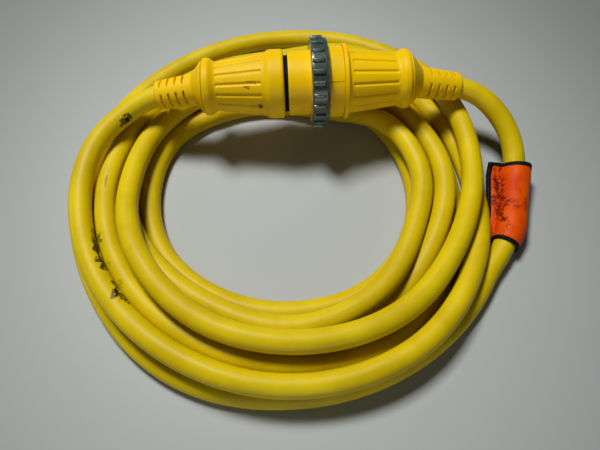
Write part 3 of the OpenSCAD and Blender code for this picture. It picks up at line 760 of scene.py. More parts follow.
@dataclass
class CordRoute:
    """Where the cord's middle runs, in millimetres: seven turns and two free leads.

    Each row of radii and heights is one turn, or the part of one at either end, in
    steps of 30 degrees. A height of 0 stands for a cord that lies on the ground, its
    middle at the height rest. The leads' lines start lead_in and lead_out steps inside
    the winding.
    """

    centre: tuple[float, float] = (-47.0, -18.0)
    start_deg: float = 180.0
    step_deg: float = 30.0
    rest: float = 6.8
    step_points: int = 16
    lead_points: int = 6
    lead_in: float = 0.25
    lead_out: float = 0.4
    radii: tuple[tuple[float, ...], ...] = (
        (160.2, 163.0, 164.5, 166.5, 166.0, 157.0, 150.5, 149.5, 147.0),
        (125.0, 131.0, 138.8, 144.0, 147.0, 148.5, 150.0, 151.5, 138.5, 131.0, 131.5, 135.5),
        (141.8, 146.0, 149.5, 151.2, 139.5, 128.8, 127.2, 127.5, 123.5, 124.0, 118.5, 119.8),
        (124.0, 128.0, 131.0, 132.2, 126.0, 122.5, 126.0, 118.5, 106.5, 105.5, 97.5, 85.5),
        (88.0, 97.8, 112.3, 114.2, 114.4, 110.8, 109.0, 109.5, 107.0, 103.5, 103.0, 105.0),
        (106.0, 113.7, 120.8, 124.0, 131.0, 137.5, 140.0, 142.0, 139.8, 147.0, 159.5, 174.0),
        (171.5, 169.5, 168.8, 169.5, 169.0, 172.5, 169.0, 168.5, 169.5),
    )
    heights: tuple[tuple[float, ...], ...] = (
        (35.0, 32.0, 26.5, 24.6, 24.6, 19.5, 7.2, 0.0, 23.5),
        (27.0, 24.8, 22.8, 24.4, 24.0, 18.0, 16.5, 12.5, 0.0, 0.0, 0.0, 0.0),
        (0.0, 0.0, 0.0, 0.0, 0.0, 0.0, 0.0, 0.0, 19.0, 23.5, 21.0, 18.0),
        (0.0, 0.0, 0.0, 11.0, 22.0, 23.8, 24.6, 24.6, 24.6, 24.6, 24.6, 13.0),
        (0.0,) * 12,
        (0.0, 19.0, 22.5, 29.0, 39.5, 36.3, 35.5, 33.5, 29.8, 26.6, 24.6, 9.0),
        (0.0,) * 9,
    )
    plug_tip: Point = (-149.49, 48.5, 50.11)
    connector_tip: Point = (95.65, 48.5, 45.89)
    plug_lead: tuple[Point, ...] = (
        (-162, 45.5, 47.5), (-173, 39.5, 44.5), (-184, 31, 42), (-194, 20.5, 39.5),
        (-202, 6.5, 37.5),
    )
    connector_lead: tuple[Point, ...] = (
        (109.3, -92.5, 7.2), (119, -78.8, 9), (123, -70, 9.8), (128, -54.5, 10.2),
        (132.2, -40.5, 11), (135.8, -27.5, 13.6), (138.4, -16, 16.8), (139.3, -4.5, 20.6),
        (138, 8, 26), (131.5, 23.5, 33), (121, 35.5, 39.5), (110.5, 43, 43.6),
    )

    def station(self, u: float) -> np.ndarray:
        """The wound cord's middle at step u, in millimetres."""
        radii = np.array([r for row in self.radii for r in row])
        heights = np.array([max(h, self.rest) for row in self.heights for h in row])
        angle = math.radians(self.start_deg + self.step_deg * u)
        radius = along(radii, u)
        height = max(along(heights, u), self.rest)
        return np.array([
            self.centre[0] + radius * math.cos(angle),
            self.centre[1] + radius * math.sin(angle),
            height,
        ])

    @property
    def steps(self) -> int:
        """The number of 30 degree steps in the winding."""
        return sum(len(row) for row in self.radii) - 1

    def coil(self) -> np.ndarray:
        """The wound cord's points from its first step to its last, in millimetres."""
        count = self.steps * self.step_points
        return np.array([self.station(i / self.step_points) for i in range(count + 1)])

    def through(self, points: Sequence[Sequence[float]]) -> np.ndarray:
        """A smooth line through a lead's points."""
        line = np.array(points, float)
        count = (len(line) - 1) * self.lead_points
        return np.array([along(line, i / self.lead_points) for i in range(count + 1)])

    def whole(self) -> np.ndarray:
        """The cord's whole middle, from the plug's boot to the connector's, in millimetres.

        Each lead's line runs one span into the winding, which gives it its heading
        there, and that span is left out.
        """
        last, span = self.steps, self.lead_points
        from_plug = self.through([
            self.plug_tip, *self.plug_lead, self.station(0.0), self.station(self.lead_in),
        ])
        to_connector = self.through([
            self.station(last - self.lead_out), self.station(last), *self.connector_lead,
            self.connector_tip,
        ])
        return np.concatenate([from_plug[:-span], self.coil()[1:-1], to_connector[span:]])


@dataclass
class Cord:
    """The cord: one long piece, and the lead at the plug as a piece of its own.

    Sizes are in metres. Each swell is a share of the radius and its turn in radians
    per metre.
    """

    route: CordRoute = field(default_factory=CordRoute)
    diameter: float = 0.017
    sides: int = 22
    joint_step: float = 1.0
    spacing: float = 0.0042
    smoothing: int = 4
    end_share: float = 0.02
    swells: tuple[tuple[float, float], ...] = ((0.006, 2 * math.pi / 0.31), (0.004, 71.0))

    def _even(self, path: np.ndarray) -> np.ndarray:
        """Spaces a path's points evenly and takes small kinks out of it."""
        runs = run_lengths(path)
        count = int(round(runs[-1] / self.spacing))
        places = np.linspace(0.0, runs[-1], count + 1)
        even = np.stack([np.interp(places, runs, path[:, i]) for i in range(3)], axis=1)
        for _ in range(self.smoothing):
            even[1:-1] = 0.25 * even[:-2] + 0.5 * even[1:-1] + 0.25 * even[2:]
        return even

    def _flat_ended(self, rows: np.ndarray) -> np.ndarray:
        """Adds a row close to each end, which keeps the closed ends' shading flat."""
        near = self.end_share
        return np.concatenate([
            rows[:1], [rows[0] + (rows[1] - rows[0]) * near], rows[1:-1],
            [rows[-1] + (rows[-2] - rows[-1]) * near], rows[-1:],
        ])

    def _skin(
        self, name: str, path: np.ndarray, ahead: np.ndarray, runs: np.ndarray
    ) -> bpy.types.Object:
        """Draws the jacket round a path.

        Args:
            name: the piece's name.
            path: the middle's points, in metres.
            ahead: the cord's heading at each of them.
            runs: how far along the whole cord each of them is.

        Returns:
            The jacket, closed flat at both ends, with UV along and around.
        """
        side, up = side_and_up(ahead)
        turn = np.linspace(0.0, 2 * math.pi, self.sides, endpoint=False) - math.pi / 2
        swell = np.ones(len(runs))
        for share, rate in self.swells:
            swell += share * np.sin(runs * rate)
        radius = self.diameter / 2 * swell[:, None, None]
        rings = (
            path[:, None, :]
            + radius * np.cos(turn)[None, :, None] * side[:, None, :]
            + radius * np.sin(turn)[None, :, None] * up[:, None, :]
        )
        rings[:, :, 2] = np.maximum(rings[:, :, 2], 0.0)
        rings, runs = self._flat_ended(rings), self._flat_ended(runs)
        last, n = len(rings) - 1, self.sides
        faces = quads(len(rings), n, columns_meet=True)
        uvs = []
        for i in range(last):
            for k in range(n):
                a, b = k / n, (k + 1) / n
                uvs += [(runs[i], a), (runs[i], b), (runs[i + 1], b), (runs[i + 1], a)]
        for i, order in ((0, range(n - 1, -1, -1)), (last, range(n))):
            faces.append(tuple(i * n + k for k in order))
            uvs += [(runs[i], k / n) for k in order]
        return mesh_object(name, rings.reshape(-1, 3), faces, uvs)

    def build(self, jacket: bpy.types.Material) -> None:
        """Args:
            jacket: the jacket's finish.
        """
        route = self.route
        path = self._even(route.whole() * MM)
        ahead, runs = headings(path), run_lengths(path)
        first_turn = path[:len(path) // 4]
        split = route.station(self.joint_step) * MM
        cut = int(np.argmin(np.linalg.norm(first_turn - split, axis=1)))
        plan = (
            ("cord_jacket", slice(cut, None), -1, "coiled", ("cord_coil", "cord_lead_connector")),
            ("cord_plug_lead", slice(0, cut + 1), 1, "loose", ("cord_lead_plug",)),
        )
        pieces = []
        for name, part, order, lay, nodes in plan:
            piece = self._skin(name, path[part], ahead[part], runs[part])
            dress(piece, jacket)
            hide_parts(*nodes)
            length = float(runs[part][-1] - runs[part][0])
            log.info("%s: %.3f m of cord", name, length)
            pieces.append(piece)
        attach(pieces[0], "connector")
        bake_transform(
            pieces[1], "connector", "sleeve",
            start=tuple(route.station(0.0) * MM), end=tuple(c * MM for c in route.plug_lead[0]),
        )


# ---- The tag ---------------------------------------------------------------


@dataclass
class CableTag:
    """The cloth tag wrapped round the connector's lead, its two layers sewn in a flap.

    Sizes are in millimetres and angles in degrees. The tag runs from the lead's point
    first to its point last, and the flap's reach is given at even steps between them.
    The cloth's flat width is measured middle_off outside its inner face.
    """

    route: CordRoute = field(default_factory=CordRoute)
    first: int = 2
    last: int = 7
    overhang: float = 0.2
    inner: float = 10.5
    snug: float = 9.1
    slack: float = 1.5
    slackening: float = 0.8
    thickness: float = 1.1
    middle_off: float = 0.5
    crease: float = 0.35
    flap_near: float = 200.0
    flap_far: float = 170.0
    opening: float = 24.0
    reach: tuple[float, ...] = (14.0, 15.5, 16.5, 18.5, 21.0, 21.0)
    layer_half: float = 0.35
    pinch_out: float = 1.6
    pinch_half: float = 0.5
    belly: float = 0.9
    band_width: float = 3.2
    tape: float = 0.35
    tape_crease: float = 0.05
    tape_room: float = 0.3
    cloth_lift: float = 0.25
    tape_lift: float = 0.2
    rows: int = 64
    columns: int = 72
    neck_steps: int = 4
    flap_steps: int = 10

    def _line(self) -> np.ndarray:
        """The cord's middle under the tag, in millimetres, with a little beyond each end."""
        route = self.route
        points = np.array([route.station(route.steps), *route.connector_lead,
                           route.connector_tip], float)
        low, high = self.first - self.overhang, self.last + self.overhang
        return np.array([along(points, u) for u in np.linspace(low, high, self.rows)])

    @staticmethod
    def _flap_axes(flap_deg: float) -> tuple[np.ndarray, np.ndarray]:
        """The ways out along a flap and across it, in a section's plane."""
        middle = math.radians(flap_deg)
        out = np.array([math.cos(middle), math.sin(middle)])
        return out, np.array([-out[1], out[0]])

    def _section(
        self, reach: float, flap_deg: float, off: float, loose: float = 1.0
    ) -> np.ndarray:
        """A tag's section in its own plane: in along one layer, round the cord and out again.

        Args:
            reach: how far the flap's edge is from the cord's middle, in millimetres.
            flap_deg: the way the flap points, round from the cord's right side.
            off: how far the drawn surface lies outside the cloth's inner face.
            loose: 1 where the wrap is slack, 0 where it is drawn up on the cord.

        Returns:
            The section's points, across and up.
        """
        r = self.snug + (self.inner - self.snug) * loose + off
        spread, middle = math.radians(self.opening), math.radians(flap_deg)
        turn = np.linspace(middle + spread, middle + 2 * math.pi - spread, self.columns)
        body = np.stack([r * np.cos(turn) + self.slack * loose, r * np.sin(turn)], axis=1)
        out, wide = self._flap_axes(flap_deg)
        half = self.layer_half + off * 0.5
        s = np.linspace(0.0, 1.0, self.neck_steps + 1)[1:, None]
        t = np.linspace(0.0, 1.0, self.flap_steps + 1)[1:, None]
        ends = []
        for anchor, sign in ((body[0], 1.0), (body[-1], -1.0)):
            pinch = out * (anchor @ out + self.pinch_out) + wide * sign * (half + self.pinch_half)
            tip = out * (reach + off) + wide * sign * half
            neck = anchor + (pinch - anchor) * s
            layer = pinch + (tip - pinch) * t + wide * sign * self.belly * np.sin(math.pi * t)
            ends.append(np.concatenate([neck, layer]))
        return np.concatenate([ends[0][::-1], body, ends[1]])

    @staticmethod
    def _creases(girth: np.ndarray, run: float, depth: float) -> np.ndarray:
        """How far the creases stand out round one section.

        Args:
            girth: places round the section, from 0 to 1.
            run: how far along the cord the section lies, in millimetres.
            depth: the highest that a crease stands, in millimetres.

        Returns:
            The creases' heights, in millimetres.
        """
        broad = np.sin(girth * 17.0 + run * 0.09) * np.sin(run * 0.21 + 1.0)
        narrow = np.sin(girth * 29.0 - run * 0.17 + 0.7)
        return depth * np.abs(broad + narrow) / 2

    def _cloth(
        self, name: str, line: np.ndarray, shape: np.ndarray, off: float, crease: float
    ) -> bpy.types.Object:
        """Draws the cloth's outer face along a line and closes its flap.

        Args:
            name: the piece's name.
            line: the cord's middle under the cloth, in millimetres.
            shape: the flap's reach and angle and the wrap's slackness along the line.
            off: distance of the drawn face from the cloth's inner face.
            crease: depth of the creases, in millimetres.

        Returns:
            The cloth as a single face, to be thickened inwards.
        """
        ahead = headings(line)
        side, up = side_and_up(ahead)
        runs = run_lengths(line)
        points, flat = [], []
        for i in range(len(line)):
            reach, flap_deg, loose = (float(v) for v in shape[i])
            section = self._section(reach, flap_deg, off, loose)
            girth = run_lengths(section)
            outward = section / np.linalg.norm(section, axis=1)[:, None]
            raised = self._creases(girth / girth[-1], runs[i], crease)
            drawn = section + outward * raised[:, None]
            placed = line[i] + drawn[:, :1] * side[i] + drawn[:, 1:] * up[i]
            placed[:, 2] = np.maximum(placed[:, 2], self.cloth_lift)
            points += list(placed * MM)
            flat += [(g * MM, runs[i] * MM) for g in girth]
        faces = quads(len(line), len(points) // len(line))
        return mesh_object(name, points, faces, [flat[c] for face in faces for c in face])

    def build(self, cloth: bpy.types.Material, tape: bpy.types.Material) -> None:
        """Makes the wrapped cloth and its bound edges.

        Args:
            cloth: the cloth's finish.
            tape: the edge tape's finish.
        """
        line = self._line()
        runs = run_lengths(line)
        place = np.linspace(0.0, len(self.reach) - 1.0, len(line))
        shape = np.column_stack([
            np.interp(place, range(len(self.reach)), self.reach),
            np.linspace(self.flap_near, self.flap_far, len(line)),
            np.clip(place * self.slackening, 0.0, 1.0),
        ])
        sheet = self._cloth("tag_cloth", line[1:-1], shape[1:-1], self.thickness, self.crease)
        self._thicken(sheet, self.thickness)
        dress(sheet, cloth)
        bands = []
        for part in (runs < self.band_width, runs > runs[-1] - self.band_width):
            off = self.thickness + self.tape
            band = self._cloth("tape", line[part], shape[part], off, self.tape_crease)
            self._thicken(band, off + self.tape)
            bands.append(band)
        edge = self._cloth_edge(line, shape)
        self._thicken(edge, self.tape)
        binding = self._joined("tag_tape", [*bands, edge])
        dress(binding, tape)
        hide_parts("tag_sleeve")
        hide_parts("tag_binding")
        for piece in (sheet, binding):
            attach(piece, "connector")

    def _cloth_edge(self, line: np.ndarray, shape: np.ndarray) -> bpy.types.Object:
        """Draws the tape folded over the flap's free edge.

        Args:
            line: the cord's middle under the tag, in millimetres.
            shape: the flap's reach and angle and the wrap's slackness along the line.

        Returns:
            The tape as a single face, to be thickened inwards.
        """
        side, up = side_and_up(headings(line))
        runs = run_lengths(line)
        half = self.layer_half + self.thickness * 0.5 + self.tape * 1.5 + self.tape_room
        one_side = [(-2.8, half + self.tape_room), (-0.6, half), (0.5, half * 0.6)]
        fold = [*one_side, (0.8, 0.0), *((beyond, -across) for beyond, across in one_side[::-1])]
        points, flat = [], []
        for i in range(len(line)):
            reach, flap_deg, _ = shape[i]
            out, wide = self._flap_axes(flap_deg)
            for k, (beyond, across) in enumerate(fold):
                corner = out * (reach + self.thickness + beyond) + wide * across
                place = line[i] + corner[0] * side[i] + corner[1] * up[i]
                place[2] = max(place[2], self.tape_lift)
                points.append(place * MM)
                flat.append((runs[i] * MM, k * MM))
        faces = turned_over(quads(len(line), len(fold)))
        return mesh_object("edge", points, faces, [flat[c] for face in faces for c in face])

    @staticmethod
    def _joined(name: str, pieces: list[bpy.types.Object]) -> bpy.types.Object:
        """Joins meshes into the first of them."""
        whole = bmesh.new()
        for piece in pieces:
            whole.from_mesh(piece.data)
        for piece in pieces[1:]:
            bpy.data.objects.remove(piece)
        first = pieces[0]
        whole.to_mesh(first.data)
        whole.free()
        first.name = name
        first.data.name = name
        return first

    @staticmethod
    def _thicken(piece: bpy.types.Object, depth: float) -> None:
        """Turns faces outwards and gives the cloth its thickness inwards, in millimetres."""
        face_outwards(piece)
        wall = piece.modifiers.new("wall", "SOLIDIFY")
        wall.thickness = depth * MM
        wall.offset = -1.0
        settled(piece)


# ---- Housings --------------------------------------------------------------


@dataclass
class Moulding:
    """A moulded rubber part: the plain part with its edges and corners eased.

    Its voxels and the distance at which points merge are in millimetres.
    """

    node: str
    body: str
    slot: str
    merge: float = 0.01
    voxel: float = 0.52
    easing: int = 4
    ease_factor: float = 0.5

    def build(self, finish: bpy.types.Material) -> None:
        """Draws the eased moulding in the plain part's place.

        Args:
            finish: its material.
        """
        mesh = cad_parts[self.node].data.copy()
        mesh.materials.clear()
        piece = bpy.data.objects.new(self.node + "_moulding", mesh)
        bpy.context.scene.collection.objects.link(piece)
        face_outwards(piece, self.merge * MM)
        remesh = piece.modifiers.new("skin", "REMESH")
        remesh.mode = "VOXEL"
        remesh.voxel_size = self.voxel * MM
        remesh.use_smooth_shade = True
        ease = piece.modifiers.new("ease", "SMOOTH")
        ease.factor = self.ease_factor
        ease.iterations = self.easing
        settled(piece)
        dress(piece, finish)
        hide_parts(self.node)
        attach(piece, self.body)
        log.info("%s: %d faces", piece.name, len(piece.data.polygons))


# ---- The locking ring ------------------------------------------------------


@dataclass
class LockingRing:
    """The ribbed ring: a turned shell, and grip ribs set round it by a node tree.

    Sizes are in millimetres. The bore's thread is drawn as plain rings.
    """

    middle_x: float = -19.6
    axis_y: float = 48.5
    axis_z: float = 57.8
    width: float = 13.6
    radius: float = 34.3
    bore: float = 31.2
    nose_bore: float = 28.3
    lip: float = 2.0
    rounding: float = 0.7
    pitch: float = 2.5
    thread_depth: float = 0.9
    rib_count: int = 24
    rib_width: float = 4.2
    rib_height: float = 2.0
    rib_start: float = 0.8
    rib_root: float = 0.6
    rib_edge: float = 0.35
    rim_width: float = 3.2
    sides: int = 120

    def _profile(self) -> list[tuple[float, float]]:
        """The shell's section: places along the axis and radii, round from its left face."""
        left, right = self.middle_x - self.width / 2, self.middle_x + self.width / 2
        lip_x = right - self.lip
        r, c, shoulder = self.radius, self.rounding, 3.0
        outside = [
            (left, self.bore + 0.6), (left + 0.05, r - c), (left + 0.25, r - 0.25),
            (left + c, r), (left + shoulder, r), (self.middle_x, r), (right - shoulder, r),
            (right - c, r), (right - 0.25, r - 0.25), (right - 0.05, r - c),
        ]
        lip = [
            (right, self.nose_bore + 0.5), (right - 0.4, self.nose_bore), (lip_x, self.nose_bore),
            (lip_x - 0.05, self.nose_bore + 0.1), (lip_x - 0.05, self.bore),
        ]
        # Between plain ends, each turn of the thread is a flat crest and a flat valley.
        crest, valley, pitch = self.bore, self.bore + self.thread_depth, self.pitch
        plain = 1.0
        thread = []
        x = lip_x - plain
        while x - pitch > left + plain:
            thread += [(x, crest), (x - pitch * 0.25, crest), (x - pitch * 0.5, valley),
                       (x - pitch * 0.75, valley)]
            x -= pitch
        return [*outside, *lip, *thread, (left + 0.8, crest)]

    def _shell(self) -> bpy.types.Object:
        """Turns the ring's shell about the couplers' axis."""
        profile = self._profile()
        points = []
        for i in range(self.sides):
            a = 2 * math.pi * i / self.sides
            for x, r in profile:
                points.append((x * MM, (self.axis_y + r * math.sin(a)) * MM,
                               (self.axis_z + r * math.cos(a)) * MM))
        faces = turned_over(quads(self.sides, len(profile), rows_meet=True, columns_meet=True))
        shell = mesh_object("ring_shell", points, faces)
        face_outwards(shell)
        return shell

    def _rib(self) -> bpy.types.Object:
        """Draws one grip rib over the top of the ring, about the ring's centre."""
        near = self.rib_start - self.width / 2
        far = self.width / 2 - self.rim_width
        base, top = self.radius - self.rib_root, self.radius + self.rib_height
        edge, half = self.rib_edge, self.rib_width / 2
        ridge = [(near, top - 1.2), (near + edge, top - 0.4), (near + 1.0, top),
                 (far - 1.0, top), (far - edge, top - 0.4), (far, top - 1.2)]
        across = [(-half, 0.0), (-half + edge, 0.55), (-half + 0.95, 0.93), (0.0, 1.0),
                  (half - 0.95, 0.93), (half - edge, 0.55), (half, 0.0)]
        points = [
            (x * MM, y * MM, (base + (height - base) * share) * MM)
            for x, height in ridge for y, share in across
        ]
        n, last = len(across), len(ridge) - 1
        faces = turned_over(quads(len(ridge), n, columns_meet=True))
        faces.append(tuple(range(n)))
        faces.append(tuple(last * n + k for k in range(n - 1, -1, -1)))
        rib = mesh_object("rib", points, faces)
        face_outwards(rib)
        rib.hide_render = True
        return rib

    def _rib_tree(self) -> tuple[bpy.types.NodeTree, dict[str, str]]:
        """Lays out the tree that sets ribs round an axis.

        Returns:
            The tree, and its inputs' identifiers by name.
        """
        tree = bpy.data.node_groups.new("grip_ribs", "GeometryNodeTree")
        inputs = {}
        for name, kind in (("Rib", "NodeSocketObject"), ("Count", "NodeSocketInt"),
                           ("Centre", "NodeSocketVector"), ("Finish", "NodeSocketMaterial")):
            inputs[name] = tree.interface.new_socket(
                name, in_out="INPUT", socket_type=kind).identifier
        tree.interface.new_socket("Geometry", in_out="OUTPUT", socket_type="NodeSocketGeometry")
        bench = Bench(tree)
        given = bench.put("NodeGroupInput")
        rib = bench.put("GeometryNodeObjectInfo", {"transform_space": "ORIGINAL"},
                        {"Object": given.outputs["Rib"]})
        points = bench.put("GeometryNodePoints", {},
                           {"Count": given.outputs["Count"], "Position": given.outputs["Centre"]})
        index = bench.put("GeometryNodeInputIndex")
        share = bench.put("ShaderNodeMath", {"operation": "DIVIDE"},
                          {0: index.outputs[0], 1: given.outputs["Count"]})
        angle = bench.put("ShaderNodeMath", {"operation": "MULTIPLY"},
                          {0: share.outputs[0], 1: 2 * math.pi})
        turn = bench.put("ShaderNodeCombineXYZ", {}, {0: angle.outputs[0]})
        placed = bench.put("GeometryNodeInstanceOnPoints", {},
                           {"Points": points.outputs[0], "Instance": rib.outputs["Geometry"],
                            "Rotation": turn.outputs[0]})
        real = bench.put("GeometryNodeRealizeInstances", {}, {"Geometry": placed.outputs[0]})
        dressed = bench.put("GeometryNodeSetMaterial", {},
                            {"Geometry": real.outputs[0], "Material": given.outputs["Finish"]})
        bench.put("NodeGroupOutput", {}, {"Geometry": dressed.outputs[0]})
        return tree, inputs

    def build(self, finish: bpy.types.Material) -> None:
        """Makes the shell and the ribs.

        Args:
            finish: the ring's material.
        """
        shell = self._shell()
        dress(shell, finish)
        rib = self._rib()
        tree, inputs = self._rib_tree()
        holder = mesh_object("ring_ribs", [(0.0, 0.0, 0.0)], [])
        setter = holder.modifiers.new("ribs", "NODES")
        setter.node_group = tree
        setter[inputs["Rib"]] = rib
        setter[inputs["Count"]] = self.rib_count
        setter[inputs["Centre"]] = (self.middle_x * MM, self.axis_y * MM, self.axis_z * MM)
        setter[inputs["Finish"]] = finish
        ribs = settled(holder)
        bpy.data.objects.remove(rib)
        ribs.data.polygons.foreach_set("use_smooth", [False] * len(ribs.data.polygons))
        bevel = ribs.modifiers.new("ease", "BEVEL")
        bevel.width = self.rib_edge * MM
        bevel.segments = 2
        bevel.limit_method = "ANGLE"
        bevel.angle_limit = math.radians(30)
        settled(ribs)
        ribs.data.polygons.foreach_set("use_smooth", [True] * len(ribs.data.polygons))
        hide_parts("locking_ring")
        for piece in (shell, ribs):
            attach(piece, "ring")
        log.info("locking ring: %d ribs, %d faces", self.rib_count, len(ribs.data.polygons))


# ---- The carried-over parts ------------------------------------------------


class Stuff(Enum):
    """What an inner part is made of."""

    BRASS = "brass"
    STEEL = "steel"
    NYLON = "nylon"
    SEAL = "seal"
    BLACK_WIRE = "black wire"
    WHITE_WIRE = "white wire"
    GREEN_WIRE = "green wire"
    JACKET = "jacket"


@dataclass
class InnerParts:
    """Contacts, cores, screws, clamps and wires, which keep their plain shapes."""

    finishes: dict[Stuff, bpy.types.Material]

    def stuff_of(self, node: str) -> Stuff:
        """What the named part is made of."""
        if node.startswith(("blade", "contact")) or node.endswith("clamp_screws"):
            return Stuff.BRASS
        if "screws" in node or "clamp" in node or node in ("lock_pin", "collar_snap_ring"):
            return Stuff.STEEL
        if node.endswith("wire_line"):
            return Stuff.BLACK_WIRE
        if node.endswith("wire_neutral"):
            return Stuff.WHITE_WIRE
        if node.endswith("wire_ground"):
            return Stuff.GREEN_WIRE
        if node.endswith("cord_end"):
            return Stuff.JACKET
        if node == "collar_gasket":
            return Stuff.SEAL
        return Stuff.NYLON

    def dress_all(self) -> None:
        """Gives every part still shown its finish."""
        for name, node in sorted(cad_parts.items()):
            if node.hide_render:
                continue
            stuff = self.stuff_of(name)
            dress(node, self.finishes[stuff])
            log.info("%s: %s", name, stuff.value)


# ---- The studio ------------------------------------------------------------


@dataclass(frozen=True)
class Lamp:
    """A square soft lamp: where it hangs, its side, its power and its tint's green part."""

    name: str
    place: Point
    side: float
    watts: float
    warmth: float = 1.0

    def hang(self, target: Point) -> None:
        """Hangs the lamp so that it faces a place."""
        light = bpy.data.lights.new(self.name, "AREA")
        light.shape = "SQUARE"
        light.size = self.side
        light.energy = self.watts
        light.color = (1.0, self.warmth, self.warmth * self.warmth)
        lamp = bpy.data.objects.new(self.name, light)
        lamp.location = self.place
        lamp.rotation_mode = "QUATERNION"
        ahead = Vector(target) - Vector(self.place)
        lamp.rotation_quaternion = ahead.to_track_quat("-Z", "Y")
        bpy.context.scene.collection.objects.link(lamp)


@dataclass
class Studio:
    """Floor, lamps and camera."""

    target: Point = (-0.040, -0.050, 0.0)
    elevation_deg: float = 61.0
    azimuth_deg: float = 3.2
    distance: float = 0.4539
    lens: float = 33.6
    sensor: float = 36.0
    clip: tuple[float, float] = (0.02, 20.0)
    floor_half: float = 3.0
    floor_tint: Colour = srgb(171, 176, 174)
    # Painted shade: the floor's colour at its edge, darker than its lit middle.
    floor_edge_shade: Colour = srgb(119, 123, 120)
    floor_middle: tuple[float, float] = (-0.040, -0.050)
    floor_depth_share: float = 0.87
    floor_shade_fade: tuple[float, float] = (0.10, 0.42)
    floor_roughness: float = 0.65
    floor_shine: float = 0.3
    lamp_target: Point = (-0.03, 0.0, 0.03)
    lamps: tuple[Lamp, ...] = (
        Lamp("window", (-0.50, 0.66, 1.87), 0.50, 44.0, 0.99),
        Lamp("side", (-1.6, 0.3, 0.9), 0.8, 1.4),
        Lamp("fill", (-0.1, -1.75, 0.40), 0.7, 5.0),
    )
    room_tint: Colour = (0.9, 0.95, 1.0, 1.0)
    room_strength: float = 0.010

    def _floor(self) -> None:
        """Lays a plain pale table top, with painted shade darkening it away from its middle."""
        half = self.floor_half
        table = mesh_object(
            "table_top",
            [(-half, -half, 0), (half, -half, 0), (half, half, 0), (-half, half, 0)],
            [(0, 1, 2, 3)],
        )
        bench = ShaderBench("table")
        x, y, _ = bench.parts(bench.place)
        middle_x, middle_y = self.floor_middle
        back = (y - middle_y) * self.floor_depth_share
        away = bench.length(bench.joined(x - middle_x, back, 0.0))
        # Painted shade: the floor darkens from its middle outwards, like a pool of light.
        colour = bench.mix(away.step(*self.floor_shade_fade), self.floor_tint, self.floor_edge_shade)
        dress(table, bench.finish(
            Base_Color=colour, Roughness=self.floor_roughness, Specular=self.floor_shine,
        ))

    def _camera(self) -> None:
        """Sets up the camera over the front edge."""
        e, a = math.radians(self.elevation_deg), math.radians(self.azimuth_deg)
        ahead = Vector((math.cos(e) * math.sin(a), math.cos(e) * math.cos(a), -math.sin(e)))
        data = bpy.data.cameras.new("camera")
        data.sensor_width = self.sensor
        data.lens = self.lens
        data.clip_start, data.clip_end = self.clip
        camera = bpy.data.objects.new("camera", data)
        camera.location = Vector(self.target) - ahead * self.distance
        camera.rotation_mode = "QUATERNION"
        camera.rotation_quaternion = ahead.to_track_quat("-Z", "Y")
        bpy.context.scene.collection.objects.link(camera)
        bpy.context.scene.camera = camera

    def _room(self) -> None:
        """Gives the room around the table its faint light."""
        world = bpy.data.worlds.new("room")
        world.use_nodes = True
        walls = world.node_tree.nodes["Background"]
        walls.inputs["Color"].default_value = self.room_tint
        walls.inputs["Strength"].default_value = self.room_strength
        bpy.context.scene.world = world

    def build(self) -> None:
        """Sets up the whole studio."""
        self._floor()
        self._camera()
        for lamp in self.lamps:
            lamp.hang(self.lamp_target)
        self._room()
        bpy.context.scene.view_settings.view_transform = "Standard"


# ---- The whole -------------------------------------------------------------

# Where handling has left its dark marks.
HOUSING_MARKS = (
    Scuff((-76.1, 32.5, 72.8), (4.5, 1.6, 1.8), 0.75),
    Scuff((-67.3, 24.5, 59.7), (3.6, 2.4, 2.8), 1.0),
    Scuff((-73.5, 34.4, 76.0), (6.0, 1.6, 1.6), 0.4),
    Scuff((-7.0, 29.3, 77.9), (6.5, 0.8, 0.8), 0.55),
)
CORD_MARKS = (
    Scuff((-176.1, 27.2, 46.0), (5.2, 5.0, 5.0)),
    Scuff((-172.6, 29.9, 46.8), (3.6, 3.6, 4.0)),
    Scuff((-192.8, -66.0, 34.0), (2.4, 4.5, 4.5), 0.7),
    Scuff((-190.0, -75.0, 34.8), (3.6, 10.0, 6.0)),
    Scuff((-188.6, -81.5, 36.0), (3.4, 5.5, 5.0)),
    Scuff((-184.4, -89.6, 35.8), (4.4, 6.0, 5.0)),
    Scuff((-181.5, -94.5, 34.3), (3.6, 6.0, 5.0)),
    Scuff((-172.4, -109.8, 32.7), (4.0, 7.0, 5.0)),
    Scuff((-165.2, -119.5, 34.0), (6.5, 6.5, 5.0)),
    Scuff((-171.6, -118.0, 38.1), (2.4, 4.4, 3.5), 0.7),
    Scuff((-189.5, -19.7, 32.7), (1.2, 7.0, 3.0), 0.4),
)
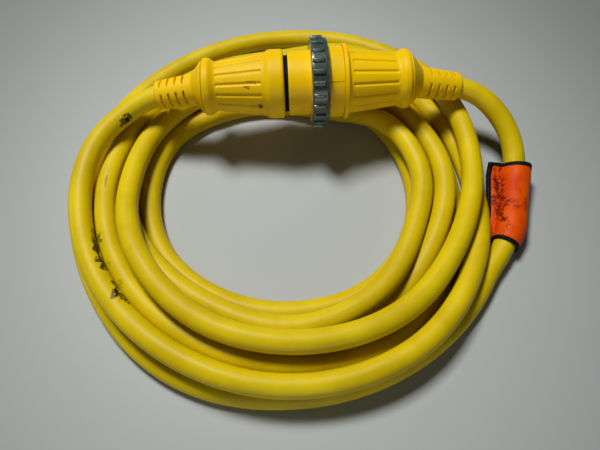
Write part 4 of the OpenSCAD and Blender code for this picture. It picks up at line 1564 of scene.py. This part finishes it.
# Dark marks on the tag, most of them long lines along the crease where the flap leaves the wrap.
TAG_MARKS = (
    Scuff((120.6, -24.0, 10.0), (3.0, 15.0, 8.0), 0.8),
    Scuff((117.4, -44.0, 8.5), (3.4, 15.0, 8.0), 0.9),
    Scuff((125.4, -22.0, 14.0), (2.2, 14.0, 8.0), 0.9),
    Scuff((122.8, -38.7, 13.5), (2.8, 12.0, 8.0), 0.95),
    Scuff((118.5, -56.0, 13.5), (3.2, 12.0, 8.0), 0.95),
    Scuff((119.5, -68.0, 14.5), (3.6, 9.0, 8.0), 0.7),
    Scuff((125.5, -49.5, 20.0), (8.0, 2.4, 6.5), 0.9),
    Scuff((130.5, -55.0, 22.0), (4.5, 1.6, 5.0), 0.7),
    Scuff((121.0, -33.0, 12.0), (2.2, 28.0, 12.0), 0.7),
)


def main() -> None:
    """Builds every piece in order, dresses it and sets up the studio."""
    logging.basicConfig(level=logging.INFO, format="%(message)s", stream=sys.stdout)
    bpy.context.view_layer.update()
    housing = MouldedYellow("housing_yellow", marks=HOUSING_MARKS).material()
    boots = MouldedYellow("boot_yellow", tint=srgb(238, 196, 2), roughness=0.48).material()
    jacket = CordJacket("cord_jacket", marks=CORD_MARKS).material()
    Cord().build(jacket)
    CableTag().build(
        TagCloth("tag_orange", marks=TAG_MARKS).material(),
        BindingTape("binding_black").material(),
    )
    for part, material in (
        (Moulding("plug_body", "plug", "housing"), housing),
        (Moulding("connector_body", "connector", "housing"), housing),
        (Moulding("connector_nose", "connector", "housing"), housing),
        (Moulding("plug_collar", "sleeve", "housing"), housing),
        (Moulding("plug_boot", "plug", "boot", voxel=0.45, easing=2), boots),
        (Moulding("connector_boot", "connector", "boot", voxel=0.45, easing=2), boots),
    ):
        part.build(material)
    LockingRing().build(RingPlastic("ring_grey").material())
    InnerParts({
        Stuff.BRASS: Metal("brass", srgb(214, 176, 96), srgb(150, 112, 52)).material(),
        Stuff.STEEL: Metal("plated_steel", srgb(188, 190, 194), srgb(140, 142, 146)).material(),
        Stuff.NYLON: Plastic(
            "black_nylon", srgb(10, 10, 11), srgb(6, 6, 7), dust_share=0.04, roughness=0.6,
            shine=0.1,
        ).material(),
        Stuff.SEAL: Plastic(
            "seal_rubber", srgb(28, 28, 28), srgb(40, 40, 38), roughness=0.6,
        ).material(),
        Stuff.BLACK_WIRE: Plastic("wire_black", srgb(24, 24, 24), srgb(34, 34, 34)).material(),
        Stuff.WHITE_WIRE: Plastic(
            "wire_white", srgb(228, 228, 222), srgb(214, 212, 204),
        ).material(),
        Stuff.GREEN_WIRE: Plastic("wire_green", srgb(20, 120, 62), srgb(14, 100, 50)).material(),
        Stuff.JACKET: jacket,
    }).dress_all()
    Studio().build()


if __name__ == "__main__":
    main()
